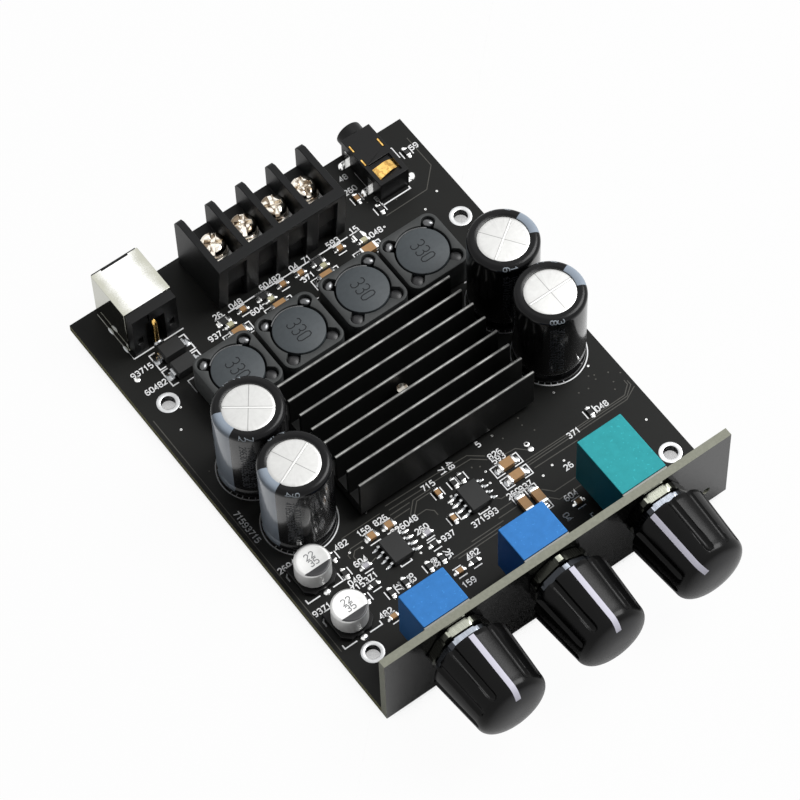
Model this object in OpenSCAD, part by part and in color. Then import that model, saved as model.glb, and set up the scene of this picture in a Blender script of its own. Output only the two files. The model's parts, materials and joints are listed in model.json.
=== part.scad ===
// Audio amplifier board with three front controls, a barrier terminal and a finned heat sink.
// Millimetres, +Z up. The origin is the centre of the four mounting holes on the board's underside.
// The front panel and the knobs face -Y, the sockets and the barrier terminal face +Y.

/* [Board] */
// Width of the main board along the front panel
board_w = 70; // [70:1:80]
// Length of the main board from the panel's back face to the back edge
board_l = 90; // [89:1:104]
// Thickness of the main board
board_t = 1.6; // [1:0.2:2.4]
// Mounting hole spacing across the board
hole_span_x = 61.6; // [61:0.1:63]
// Mounting hole spacing along the board
hole_span_y = 58.5; // [58:0.1:59]
// Mounting hole diameter for an M2.5 screw
hole_d = 2.7; // [2.2:0.1:3.2]
// Distance of the hole pattern's centre from the board's centre line
hole_side = 0.63; // [0:0.01:1]
// Distance of the front hole row from the panel's back face
hole_front = 8.91; // [8.5:0.01:9.3]
// Length of pins and legs below the board
tail = 1.2; // [0.8:0.1:2]
// Clearance between a pin or leg and its drilled hole
drill_gap = 0.15; // [0.1:0.05:0.25]

/* [Front panel] */
// Height of the front panel from the board's underside
panel_h = 18.8; // [18:0.1:24]
// Thickness of the front panel
panel_t = 1.5; // [1:0.1:3]
// Radial clearance of a bushing in its panel hole
panel_gap = 0.1; // [0.05:0.05:0.3]
// Diameter of the small window hole
window_d = 1.5; // [1:0.1:2]
// Distance of the window hole from the panel's right end
window_edge = 4.4; // [2:0.1:5]
// Height of the window hole above the board
window_z = 2.8; // [2:0.1:6]

/* [Controls] */
// Distance between neighbouring controls
pot_pitch = 20; // [19:0.5:20.5]
// Offset of the middle control from the board's centre line
pot_shift = -0.95; // [-1.2:0.05:0]
// Height of the shafts above the board
pot_axis = 11; // [10:0.1:11.5]
// Width of a control body
pot_w = 9; // [8.8:0.1:9.6]
// Height of a control body above its shaft axis
pot_up = 4.8; // [4.5:0.1:5]
// Gap between a control body and the board
pot_foot = 3.5; // [2:0.1:4]
// Depth of the two tone control bodies
tone_depth = 7; // [6.5:0.1:7.5]
// Depth of the volume control body
volume_depth = 12.1; // [10:0.1:13]
// Thickness of the metal front plate of a control
frame_t = 1; // [0.8:0.1:1.2]
// Bushing diameter
bushing_d = 7; // [6.6:0.1:7.4]
// Length of the bushing in front of the outer nut
bushing_proud = 0.4; // [0.2:0.1:1]
// Shaft diameter
shaft_d = 6; // [5:0.1:6]
// Radial clearance of the shaft in its bushing
shaft_gap = 0.05; // [0.02:0.01:0.1]
// Width across the flats of a panel nut
nut_af = 10.5; // [9:0.5:10.5]
// Thickness of a panel nut
nut_t = 1.9; // [1.5:0.1:2.5]
// Pin spacing of the controls
pin_pitch = 2.5; // [2:0.1:2.5]

/* [Knobs] */
// Knob diameter at its base
knob_d = 14.7; // [14:0.1:16]
// Knob diameter where the domed end starts
knob_end_d = 13.3; // [12.6:0.1:13.8]
// Knob length from the base to the top of the dome
knob_l = 13.3; // [12.5:0.1:18]
// Height of the domed end
dome_h = 3.1; // [2.6:0.1:3.6]
// Length of the bushing's end inside the knob
knob_sink = 0.5; // [0.3:0.1:0.6]
// Divisions around a knob, one of them for the pointer
flute_count = 12; // [6:1:16]
// Width of a flute cutter
flute_d = 1.5; // [1:0.1:1.8]
// Depth of a flute
flute_depth = 0.55; // [0.3:0.05:0.7]
// Length of a flute from the knob's base
flute_l = 10.3; // [5:0.1:10.5]
// Width of the pointer inlay
pointer_w = 1; // [0.6:0.1:1.4]
// Depth of the pointer inlay
pointer_deep = 0.45; // [0.3:0.05:0.6]
// Distance of the pointer's inner end from the axis
pointer_end = 4.3; // [2:0.1:5]
// Rest angle of the volume knob, clockwise seen from the front
volume_rest = -29; // [-60:1:60]

/* [Barrier terminal] */
// Number of terminal cells
poles = 4; // [4:1:4]
// Distance between cells
term_pitch = 6.3; // [6.2:0.05:6.4]
// Offset of the terminal from the board's centre line
term_shift = 0.45; // [-0.5:0.05:1]
// Depth of the terminal
term_d = 13.1; // [12.9:0.1:13.5]
// Height of the terminal above the board
term_h = 13.6; // [13:0.1:16]
// Height of the deck under the contact plates
deck_h = 7.2; // [6.8:0.1:7.4]
// Thickness of the partitions
fin_t = 1.3; // [1.1:0.1:1.4]
// Distance from the front line to the inside of the wall at the front of the cells
term_wall = 1.65; // [1.6:0.05:2]
// Distance by which the front wall leans out at its top
term_lean = 0.45; // [0.2:0.05:0.6]
// Distance by which the foot of the front wall is set back
term_foot = 0.8; // [0.4:0.1:1]
// Distance of the terminal from the board's back edge
term_back = 0.7; // [0.4:0.1:1]
// Distance of the screws from the terminal's back
screw_back = 5.9; // [5.6:0.1:6.1]
// Screw shank diameter
screw_d = 2.9; // [2.5:0.1:3]
// Screw head diameter
head_d = 4.6; // [4.2:0.1:4.7]
// Screw head height
head_h = 1.8; // [1.5:0.1:2]
// Radial clearance of a shank in its contact plate
thread_gap = 0.05; // [0.03:0.01:0.1]
// Thickness of contact plates and square washers
strap_t = 0.6; // [0.4:0.1:0.8]
// Clearance between a washer and the partitions
washer_gap = 0.3; // [0.25:0.05:0.4]
// Gap between loose faces of screw, washer and plate
loose = 0.05; // [0.03:0.01:0.1]

/* [Power jack] */
// Width of the power jack with its shield
dc_w = 9.5; // [9.4:0.1:10]
// Depth of the power jack
dc_d = 12.2; // [12:0.1:13]
// Height of the power jack
dc_h = 11; // [10.8:0.1:12]
// Distance of the jack's left side from the board's left edge
dc_edge = 5.4; // [4:0.1:6]
// Overhang of the jack past the board's back edge
dc_over = 0.2; // [0:0.1:1]
// Socket diameter
dc_bore = 6.4; // [6:0.1:6.6]
// Socket depth
dc_deep = 9; // [8.5:0.1:9.2]
// Height of the socket axis above the board
dc_axis = 6.5; // [6.3:0.1:6.8]
// Centre pin diameter
dc_pin_d = 2; // [1.6:0.1:2.5]
// Shield sheet thickness
shield_t = 0.25; // [0.2:0.05:0.4]
// Length of bare housing in front of the shield
dc_bare = 2; // [1.6:0.1:2.4]

/* [Audio jack] */
// Width of the audio jack body
aj_w = 6; // [5.8:0.1:7]
// Length of the audio jack body
aj_d = 11.7; // [11.5:0.1:13]
// Height of the audio jack body
aj_h = 5; // [5:0.1:6]
// Distance of the jack's axis from the board's right edge
aj_edge = 9.8; // [8:0.1:10]
// Distance of the body from the board's back edge
aj_back = 0.3; // [0.1:0.1:0.6]
// Barrel diameter
aj_barrel_d = 4.9; // [4.7:0.1:5]
// Barrel length past the body
aj_barrel_l = 2.1; // [1.5:0.1:4]
// Socket diameter for a 3.5 mm plug
aj_bore = 3.6; // [3.55:0.05:3.7]

/* [Inductors] */
// Side of an inductor
ind_w = 12; // [11.8:0.1:12.1]
// Height of an inductor
ind_h = 6.5; // [5:0.1:8]
// Corner radius of an inductor
ind_r = 2; // [1.8:0.1:2.4]
// Drum diameter
drum_d = 9.2; // [8.8:0.1:9.4]
// Gap between drum and shield
drum_gap = 0.3; // [0.2:0.05:0.4]
// Gap inside a pair of inductors
ind_pair_gap = 0.65; // [0.5:0.05:0.8]
// Gap between the two pairs
ind_mid_gap = 1.3; // [1:0.1:1.5]
// Offset of the row from the board's centre line
ind_shift = 0.45; // [0:0.05:0.6]
// Gap between the row and the barrier terminal
ind_back_gap = 7.75; // [7.3:0.05:8]

/* [Heat sink] */
// Width of the heat sink along its fins
sink_w = 35.9; // [35:0.1:36]
// Offset of the heat sink from the board's centre line
sink_shift = 0.75; // [0.5:0.05:1]
// Number of fins
sink_fins = 8; // [8:1:8]
// Fin spacing
sink_pitch = 3.32; // [3.25:0.01:3.35]
// Fin thickness
sink_fin_t = 0.6; // [0.5:0.1:0.8]
// Height of the heat sink
sink_h = 9.7; // [6:0.1:14]
// Thickness of the heat sink's base
sink_base = 2.5; // [2:0.1:3]
// Gap between heat sink and inductors
sink_gap = 2.85; // [2.5:0.05:3]
// Height of the amplifier chip
amp_h = 1.2; // [1:0.1:1.4]
// Thickness of the thermal pad
pad_t = 0.3; // [0.2:0.1:0.5]
// Diameter of the heat sink screw
sink_screw_d = 2; // [1.6:0.1:2.2]

/* [Reservoir capacitors] */
// Diameter of a capacitor with its sleeve
cap_d = 12.5; // [12.3:0.1:12.6]
// Height of a capacitor above the board
cap_h = 20; // [14:0.5:25]
// Sleeve thickness
sleeve_t = 0.2; // [0.15:0.05:0.3]
// Diameter of the bare can top inside the sleeve's lip
lip_d = 9; // [8.8:0.1:9.6]
// Gap between the two capacitors of a pair
cap_gap = 0.35; // [0.3:0.05:0.5]
// Gap between capacitors and heat sink
cap_sink_gap = 2.1; // [2:0.05:2.2]
// Lead spacing
cap_lead_pitch = 5; // [4:0.5:5]
// Lead diameter
cap_lead_d = 0.6; // [0.5:0.05:0.8]

/* [Surface parts] */
// Diameter of the small cans
can_d = 6.3; // [6:0.1:6.4]
// Height of the small cans with their bases
can_h = 5.5; // [5:0.1:7.5]
// Distance of the small cans from the board's left edge
can_edge = 5.3; // [5:0.1:5.6]
// Length of a signal chip body
so_l = 4.9; // [4.7:0.1:5]
// Width of a signal chip body
so_w = 3.9; // [3.8:0.1:4]
// Height of a signal chip
so_h = 1.5; // [1.3:0.1:1.7]
// Length of a diode body
diode_l = 4.2; // [4:0.1:4.4]
// Width of a diode body
diode_w = 2.8; // [2.6:0.1:3]
// Height of a diode
diode_h = 2; // [1.8:0.1:2.4]

/* [Hidden] */
$fn = 48;
tiny = 0.01;
hole_cy = hole_front + hole_span_y / 2;

// Controls
pot_x = [for (i = [-1:1]) pot_shift + i * pot_pitch];
pot_depth = [tone_depth, tone_depth, volume_depth];
pot_rest = [0, 0, volume_rest];
pot_tint = ["#4a8bd4", "#4a8bd4", "#4aacb5"];
nut_gap = 0.05;
bushing_l = panel_t + 2 * nut_t + nut_gap + bushing_proud;
rotor_d = 7.6;
rotor_t = 1.2;
rotor_gap = 0.1;
leg_w = 1.2;
leg_t = 0.5;
pin_w = 0.8;
pin_t = 0.4;
pin_row = 1.8;
flat_r = shaft_d / 4;
knob_z = bushing_l - knob_sink;
knob_fit = 0.03;
bore_deep = 8.6;
boss_d = shaft_d + 3;
cavity_d = 11.6;
cavity_h = 6;
boss_sink = 0.8;
base_cut = 0.3;
dome_power = 0.78;
dome_steps = 12;

// Barrier terminal
term_w = poles * term_pitch + fin_t;
term_y = board_l - term_back - term_d;
cell_x = [for (i = [0:poles - 1]) (i + 0.5) * term_pitch - poles * term_pitch / 2];
screw_y = term_d - screw_back;
deck_l = term_d - 0.3;
fin_drop = 1.5;
screw_l = 5;
pocket_d = screw_d + 0.7;
washer_w = term_pitch - fin_t - 2 * washer_gap;
washer_l = 4.8;
washer_r = 1.5;
screw_rest = [-35, -26, -14, -8];
bay_w = 3.8;
bay_d = 0.9;
bay_deep = 2;
bay_rim = 1.3;
plate_l = 8;
leg_y = 3.6;

// Power jack
dc_x = dc_edge + dc_w / 2 - board_w / 2;
dc_y = board_l + dc_over - dc_d;
dc_in_w = dc_w - 2 * shield_t;
dc_in_h = dc_h - shield_t;
dc_wire_d = 1;
dc_wire_y = 0.4;
dc_bend = 0.9;
dc_recess_d = 1.7;
dc_tabs = [2.3, 6.8];
dc_leaf_y = dc_d - dc_deep + 1;
dc_lip = 0.35;
dc_notch_w = 5.4;
dc_notch = 0.65;

// Audio jack
aj_x = board_w / 2 - aj_edge;
aj_y = board_l - aj_back - aj_d;
aj_feet = [[-1, 10], [-1, 3.2], [1, 1.05]];
foot_l = 1.5;
foot_t = 0.2;

// Inductors
ind_y = term_y - ind_back_gap - ind_w / 2;
ind_step = ind_w + ind_pair_gap;
ind_near = (ind_w + ind_mid_gap) / 2;
ind_x = [for (d = [-ind_near - ind_step, -ind_near, ind_near, ind_near + ind_step]) ind_shift + d];
ind_floor = 0.8;
notch_at = 4.03;
notch_d = 2.4;

// Heat sink
sink_l = (sink_fins - 1) * sink_pitch + sink_fin_t;
sink_y = ind_y - ind_w / 2 - sink_gap - sink_l;
sink_mid = sink_y + sink_l / 2;
sink_z = amp_h + pad_t;
sink_screw_x = sink_shift - 0.55;
sink_screw_low = 2.4;
amp_x = sink_shift - 8.2;
amp_w = 6.2;
amp_l = 11;

// Reservoir capacitors, left pair then right pair, back one first
cap_dx = sink_w / 2 + cap_sink_gap + cap_d / 2;
cap_dy = (cap_d + cap_gap) / 2;
cap_left = 0.6;
cap_right = 1.3;
cap_at = [
  [sink_shift - cap_dx, sink_mid + cap_left + cap_dy],
  [sink_shift - cap_dx, sink_mid + cap_left - cap_dy],
  [sink_shift + cap_dx, sink_mid + cap_right + cap_dy],
  [sink_shift + cap_dx, sink_mid + cap_right - cap_dy]
];
cap_foot = 0.4;
cap_round = 1;
round_steps = 6;

// Surface parts
can_x = can_edge - board_w / 2;
can_y = [15.8, 26.1];
so_at = [[-16.1, 21.65], [0, 21.7]];
so_pitch = 1.27;
diode_at = [[-24, dc_y - 2.9], [-24.05, dc_y - 6.75]];

// Chip sizes as length, width, height and plated end: large, middle and small capacitor,
// wide and narrow resistor
chip_kind = [
  [3.2, 1.6, 1.1, 0.5],
  [2, 1.25, 0.8, 0.4],
  [1.6, 0.85, 0.7, 0.3],
  [2, 1.25, 0.5, 0.4],
  [1.6, 0.85, 0.45, 0.3]
];

// Chip places as x, y, kind and turn: the back rows follow the terminal, some the small cans
// or the audio jack, and the others the panel
cap_chips = [
  [-12.8, term_y - 5, 0, 0],
  [-4.1, term_y - 5, 0, 0],
  [5.7, term_y - 5, 0, 0],
  [14.6, term_y - 5, 0, 0],
  [-13.05, term_y - 2.85, 2, 0],
  [-4.6, term_y - 2.85, 2, 0],
  [6.5, term_y - 2.85, 2, 0],
  [15.1, term_y - 2.85, 2, 0],
  [-9.6, term_y - 1.65, 2, 0],
  [-1.25, term_y - 1.65, 2, 0],
  [2.5, term_y - 1.65, 2, 0],
  [10.8, term_y - 1.65, 2, 0],
  [-17.9, 26, 1, 0],
  [-14.4, 26, 1, 0],
  [-4.25, 26, 2, 90],
  [-5, 20.6, 2, 90],
  [8.1, 23.4, 0, 0],
  [8.1, 20.65, 0, 0],
  [6, 15.5, 0, 90],
  [8.65, 15.3, 0, 90],
  [13.4, 10.6, 2, 0],
  [-10.05, 12.1, 2, 0],
  [-21.9, 22.15, 2, 0],
  [-10.15, 21, 2, 0],
  [-23.7, 11.9, 2, 0],
  [aj_x - 6.05, aj_y + 3, 2, 90]
];
res_chips = [
  [-13.6, term_y - 1.6, 3, 0],
  [-5.35, term_y - 1.6, 3, 0],
  [6.2, term_y - 1.6, 3, 0],
  [14.8, term_y - 1.6, 3, 0],
  [-0.95, 26, 4, 90],
  [0.6, 26.05, 4, 90],
  [-21.35, 15.75, 4, 90],
  [-18.4, 15.9, 4, 90],
  [-13.5, 15.9, 4, 90],
  [-10.95, 15.85, 4, 90],
  [-10.4, 18.65, 4, 0],
  [can_x + 6.9, 18.6, 4, 0],
  [can_x + 4.3, 17.4, 4, 90],
  [can_x + 4.3, 23.2, 4, 90],
  [can_x + 4.4, 26.9, 4, 90],
  [-7, 12.1, 4, 0],
  [25.4, 23.1, 4, 90],
  [aj_x - 4.05, aj_y - 1.1, 4, 90],
  [aj_x + 6.5, aj_y + 5.55, 4, 90]
];

// Moves a shape from board coordinates (centre line, panel back, board top) into the part's frame
module on_board(x, y, z = 0) {
  translate([x - hole_side, y - hole_cy, board_t + z]) children();
}

// Puts a shape on a control's axis, its +Z towards the front, its zero at the panel's back face
module at_pot(i) {
  on_board(pot_x[i], 0, pot_axis) rotate([90, 0, 0]) children();
}

module soft_square(w, d, r) {
  square([w - 2 * r, d], center = true);
  square([w, d - 2 * r], center = true);
  for (sx = [-1, 1], sy = [-1, 1])
    translate([sx * (w / 2 - r), sy * (d / 2 - r)]) circle(r = r);
}

// Drilled hole of a given diameter through the board
module drill(x, y, d) {
  on_board(x, y, -board_t - 1) cylinder(d = d, h = board_t + 2);
}

// Slot through the board around a flat leg centred at x and y
module leg_slot(x, y, w, t) {
  on_board(x - w / 2 - drill_gap, y - t / 2 - drill_gap, -board_t - 1)
    cube([w + 2 * drill_gap, t + 2 * drill_gap, board_t + 2]);
}

// Positions of a control's pins
function pin_at(i) = [
  for (y = [frame_t + pin_row, frame_t + pot_depth[i] - pin_row], k = [-1:1])
    [pot_x[i] + k * pin_pitch, y]
];

module main_board() {
  color("#232323") difference() {
    on_board(-board_w / 2, 0, -board_t) cube([board_w, board_l, board_t]);
    for (sx = [-1, 1], sy = [-1, 1])
      translate([sx * hole_span_x / 2, sy * hole_span_y / 2, -1]) cylinder(d = hole_d, h = board_t + 2);
    for (i = [0:2]) {
      for (p = pin_at(i)) drill(p[0], p[1], sqrt(pin_w * pin_w + pin_t * pin_t) + 2 * drill_gap);
      for (s = [-1, 1])
        leg_slot(pot_x[i] + s * (pot_w - leg_w) / 2, frame_t - leg_t / 2, leg_w, leg_t);
    }
    for (x = cell_x) leg_slot(term_shift + x, term_y + leg_y, 1, strap_t);
    for (c = cap_at, s = [-1, 1]) drill(c[0] + s * cap_lead_pitch / 2, c[1], cap_lead_d + 2 * drill_gap);
    drill(dc_x, dc_y + dc_wire_y, dc_wire_d + 2 * drill_gap);
    leg_slot(dc_x, dc_y + dc_leaf_y, 1.4, 0.3);
    for (s = [-1, 1], y = dc_tabs)
      leg_slot(dc_x + s * (dc_w - shield_t) / 2, dc_y + y, shield_t, 1.2);
    drill(sink_screw_x, sink_mid, sink_screw_d + 2 * drill_gap);
  }
}

module front_panel() {
  color("#3a3a3a") difference() {
    on_board(-board_w / 2, -panel_t, -board_t) cube([board_w, panel_t, panel_h]);
    for (i = [0:2])
      at_pot(i) translate([0, 0, -1]) cylinder(d = bushing_d + 2 * panel_gap, h = panel_t + 2);
    on_board(board_w / 2 - window_edge, 1, window_z) rotate([90, 0, 0])
      cylinder(d = window_d, h = panel_t + 2);
  }
}

module nut() {
  cut = nut_af / 2 - 0.15;
  rim = nut_af / 2 + 0.55;
  difference() {
    intersection() {
      cylinder(d = nut_af / cos(30), h = nut_t, $fn = 6);
      rotate_extrude()
        polygon([[0, 0], [cut, 0], [rim, 0.4], [rim, nut_t - 0.4], [cut, nut_t], [0, nut_t]]);
    }
    translate([0, 0, -1]) cylinder(d = bushing_d + 2 * thread_gap, h = nut_t + 2);
  }
}

module panel_nuts() {
  color("#e6e2d6")
    for (i = [0:2], k = [0:1]) at_pot(i) translate([0, 0, panel_t + k * (nut_t + nut_gap)]) nut();
}

module pot_pins() {
  color("#c9c9c6")
    for (i = [0:2], p = pin_at(i))
      on_board(p[0] - pin_w / 2, p[1] - pin_t / 2, -board_t - tail)
        cube([pin_w, pin_t, tail + board_t + pot_foot]);
}

module pot_body(i) {
  seat = rotor_t + 2 * rotor_gap;
  color(pot_tint[i]) at_pot(i) difference() {
    translate([-pot_w / 2, pot_foot - pot_axis, -frame_t - pot_depth[i]])
      cube([pot_w, pot_axis - pot_foot + pot_up, pot_depth[i]]);
    translate([0, 0, -frame_t - seat]) cylinder(d = rotor_d + 4 * rotor_gap, h = seat + 1);
  }
}

module pot_frame(i) {
  color("#d9d6cc") at_pot(i) difference() {
    union() {
      translate([-pot_w / 2, pot_foot - pot_axis, -frame_t])
        cube([pot_w, pot_axis - pot_foot + pot_up - 0.2, frame_t]);
      cylinder(d = bushing_d, h = bushing_l);
      for (s = [-1, 1])
        translate([s * (pot_w - leg_w) / 2 - leg_w / 2, -pot_axis - board_t - tail, -frame_t])
          cube([leg_w, board_t + tail + pot_foot + 1, leg_t]);
    }
    translate([0, 0, -frame_t - 1]) cylinder(d = shaft_d + 2 * shaft_gap, h = frame_t + bushing_l + 2);
  }
}

module pot_shaft(i) {
  back = -frame_t - rotor_gap - rotor_t;
  end = knob_z + bore_deep - 0.2;
  color("#cfcfcb") at_pot(i) rotate([0, 0, -pot_rest[i]]) difference() {
    union() {
      translate([0, 0, back]) cylinder(d = rotor_d, h = rotor_t);
      translate([0, 0, back]) cylinder(d = shaft_d, h = end - back);
    }
    translate([-shaft_d, -shaft_d - flat_r, knob_z + boss_sink - 0.2]) cube([2 * shaft_d, shaft_d, end]);
  }
}

// Knob outline from the axis over the base and side to the top, moved inwards by an inset
function knob_curve(inset) =
  let (r0 = knob_d / 2 - inset, r1 = knob_end_d / 2 - inset, zs = knob_l - dome_h, h = dome_h - inset)
  concat(
    [[0, 0], [r0 - base_cut, 0], [r0, base_cut]],
    [for (k = [0:dome_steps])
      let (t = 90 * k / dome_steps)
      [r1 * pow(cos(t), dome_power), zs + h * pow(sin(t), dome_power)]]
  );

module pointer_slab() {
  translate([-pointer_w / 2, pointer_end, -1]) cube([pointer_w, knob_d, knob_l + 2]);
}

module knob_flute() {
  side = knob_l - dome_h;
  lean = atan((knob_d - knob_end_d) / 2 / side);
  translate([0, knob_d / 2 + flute_d / 2 - flute_depth, 0]) rotate([lean, 0, 0]) {
    translate([0, 0, -1]) cylinder(d = flute_d, h = flute_l + 1);
    translate([0, 0, flute_l]) sphere(d = flute_d);
  }
}

module knob(i) {
  color("#141414") at_pot(i) translate([0, 0, knob_z]) rotate([0, 0, -pot_rest[i]]) difference() {
    rotate_extrude() polygon(knob_curve(0));
    for (k = [1:flute_count - 1]) rotate([0, 0, k * 360 / flute_count]) knob_flute();
    difference() {
      pointer_slab();
      translate([0, 0, -2]) cylinder(d = knob_d - 2 * pointer_deep, h = 2);
      rotate_extrude() polygon(knob_curve(pointer_deep));
    }
    difference() {
      translate([0, 0, -1]) cylinder(d = cavity_d, h = cavity_h + 1);
      translate([0, 0, boss_sink]) cylinder(d = boss_d, h = cavity_h);
    }
    difference() {
      cylinder(d = shaft_d + 2 * knob_fit, h = bore_deep);
      translate([-shaft_d, -shaft_d - flat_r - knob_fit, -1]) cube([2 * shaft_d, shaft_d, bore_deep + 2]);
    }
  }
}

module pointer(i) {
  color("#e8e6f0") at_pot(i) translate([0, 0, knob_z]) rotate([0, 0, -pot_rest[i]]) intersection() {
    pointer_slab();
    difference() {
      rotate_extrude() polygon(knob_curve(0));
      rotate_extrude() polygon(knob_curve(pointer_deep));
    }
  }
}

module at_terminal() {
  on_board(term_shift, term_y) children();
}

module terminal_fin() {
  rotate([90, 0, 90]) linear_extrude(fin_t)
    polygon([
      [term_foot, 0],
      [term_d, 0],
      [term_d, term_h - fin_drop],
      [term_d - fin_drop * 0.35, term_h - fin_drop * 0.35],
      [term_d - fin_drop, term_h],
      [-term_lean, term_h]
    ]);
}

// Front wall of the terminal, leaning out towards its top
module terminal_wall() {
  rotate([90, 0, 90]) linear_extrude(term_w)
    polygon([[term_foot, 0], [term_wall, 0], [term_wall, term_h], [-term_lean, term_h]]);
}

module terminal_housing() {
  color("#26282b") at_terminal() difference() {
    union() {
      translate([-term_w / 2, term_wall - 0.1, 0]) cube([term_w, deck_l - term_wall + 0.1, deck_h]);
      translate([-term_w / 2, 0, 0]) terminal_wall();
      for (k = [0:poles]) translate([k * term_pitch - term_w / 2, 0, 0]) terminal_fin();
    }
    for (x = cell_x) {
      translate([x, screw_y, 1]) cylinder(d = pocket_d, h = deck_h);
      translate([x - 0.65, leg_y - strap_t / 2 - 0.15, -1]) cube([1.3, strap_t + 0.3, deck_h + 2]);
      translate([x - bay_w / 2, -1, -1]) cube([bay_w, bay_d + 1, term_h - bay_rim + 1]);
      translate([x - bay_w / 2, -1, -1]) cube([bay_w, bay_deep + 1, deck_h - bay_rim + 1]);
    }
  }
}

module terminal_contacts() {
  color("#cfccc2") at_terminal() for (x = cell_x)
    difference() {
      union() {
        translate([x - washer_w / 2, term_wall + 0.1, deck_h]) cube([washer_w, plate_l, strap_t]);
        translate([x - 0.5, leg_y - strap_t / 2, -board_t - tail])
          cube([1, strap_t, board_t + tail + deck_h + 0.1]);
      }
      translate([x, screw_y, deck_h - 1]) cylinder(d = screw_d + 2 * thread_gap, h = strap_t + 2);
    }
}

module washer(i) {
  color("#d8d2c0") at_terminal() translate([cell_x[i], screw_y, deck_h + strap_t + loose]) difference() {
    linear_extrude(strap_t) soft_square(washer_w, washer_l, washer_r);
    translate([0, 0, -1]) cylinder(d = screw_d + 0.4, h = strap_t + 2);
  }
}

module screw(i) {
  r = head_d / 2;
  color("#d8d2c0") at_terminal() translate([cell_x[i], screw_y, deck_h + 2 * strap_t + 2 * loose])
  rotate([0, 0, screw_rest[i]]) difference() {
    union() {
      rotate_extrude()
        polygon([
          [0, 0], [r, 0], [r, head_h - 0.6], [r - 0.25, head_h - 0.2], [r - 0.8, head_h], [0, head_h]
        ]);
      translate([0, 0, -screw_l]) cylinder(d = screw_d, h = screw_l + 0.1);
    }
    translate([-0.4, -head_d, head_h - 0.8]) cube([0.8, 2 * head_d, 2]);
    translate([-1.5, -0.4, head_h - 1.1]) cube([3, 0.8, 2]);
  }
}

module at_dc() {
  on_board(dc_x, dc_y) children();
}

module dc_housing() {
  color("#161616") at_dc() difference() {
    translate([-dc_in_w / 2, 0, 0]) cube([dc_in_w, dc_d, dc_in_h]);
    translate([0, dc_d + 1, dc_axis]) rotate([90, 0, 0]) cylinder(d = dc_bore, h = dc_deep + 1);
    translate([0, dc_d, dc_axis]) rotate([90, 0, 0]) cylinder(d = dc_wire_d + 0.2, h = dc_d);
    translate([-1.9, -1, -1]) cube([3.8, dc_recess_d + 1, dc_axis + 2.6]);
    for (s = [-1, 1]) translate([s * 3.2 - 0.5, -1, 3]) cube([1, 1.6, 2]);
    translate([-1.4, -1, dc_axis + 1]) cube([0.35, 1.8, 3]);
    translate([-1.5, dc_leaf_y - 0.35, dc_axis - dc_bore / 2 - 0.8]) cube([3, dc_deep - 1.2, 1.5]);
    translate([-0.9, dc_leaf_y - 0.35, -1]) cube([1.8, 0.7, dc_axis]);
  }
}

module dc_shield() {
  color("#d9d8d2") at_dc() {
    difference() {
      translate([-dc_w / 2, dc_bare, 0]) cube([dc_w, dc_d - dc_bare, dc_h]);
      translate([-dc_in_w / 2, dc_bare - 1, -1]) cube([dc_in_w, dc_d + 2, dc_in_h + 1]);
      translate([-dc_w / 2 - 1, dc_d - dc_lip, -1]) cube([dc_w + 2, dc_lip + 1, dc_h + 2]);
      translate([-dc_notch_w / 2, dc_d - dc_notch, dc_in_h - 0.5]) cube([dc_notch_w, dc_notch + 1, 1]);
    }
    for (s = [-1, 1], y = dc_tabs)
      translate([s * (dc_w - shield_t) / 2 - shield_t / 2, y - 0.6, -board_t - tail])
        cube([shield_t, 1.2, board_t + tail]);
  }
}

module dc_pin() {
  inner = dc_d - dc_deep;
  color("#c8a45a") at_dc() {
    translate([0, dc_d - 1.2, dc_axis]) rotate([90, 0, 0]) cylinder(d = dc_pin_d, h = dc_deep - 1.2);
    translate([0, inner + tiny, dc_axis]) rotate([90, 0, 0])
      cylinder(d = dc_wire_d, h = inner + tiny - dc_wire_y - dc_bend);
    translate([0, dc_wire_y + dc_bend, dc_axis - dc_bend]) rotate([90, 0, -90])
      rotate_extrude(angle = 90) translate([dc_bend, 0]) circle(d = dc_wire_d);
    translate([0, dc_wire_y, -board_t - tail])
      cylinder(d = dc_wire_d, h = board_t + tail + dc_axis - dc_bend);
  }
}

module dc_spring() {
  leaf_z = dc_axis - dc_bore / 2 - 0.6;
  color("#c8a45a") at_dc() {
    translate([-1.2, dc_leaf_y - 0.15, leaf_z]) cube([2.4, dc_deep - 1.8, 0.3]);
    translate([-0.7, dc_leaf_y - 0.15, -board_t - tail]) cube([1.4, 0.3, board_t + tail + leaf_z + 0.1]);
  }
}

module at_audio() {
  on_board(aj_x, aj_y) children();
}

module audio_housing() {
  color("#1a1a1a") at_audio() difference() {
    union() {
      translate([-aj_w / 2, 0, 0]) cube([aj_w, aj_d, aj_h]);
      translate([0, aj_d + aj_barrel_l, aj_h / 2]) rotate([90, 0, 0])
        cylinder(d = aj_barrel_d, h = aj_barrel_l + 1);
    }
    translate([0, aj_d + aj_barrel_l + 1, aj_h / 2]) rotate([90, 0, 0])
      cylinder(d = aj_bore, h = aj_d + aj_barrel_l - 1);
    translate([-2.2, 0.8, aj_h - 0.55]) cube([4.4, 4, 1]);
    for (f = aj_feet)
      translate([f[0] * aj_w / 2 - 0.3, f[1] - foot_l / 2 - 0.1, -1]) cube([0.6, foot_l + 0.2, 4.2]);
    for (y = [4.9, 8.4]) translate([-2.75, y, aj_h - 1.2]) cube([0.45, 1.6, 2]);
    translate([2.1, 6.4, aj_h - 1.2]) cube([0.45, 2, 2]);
  }
}

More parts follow.
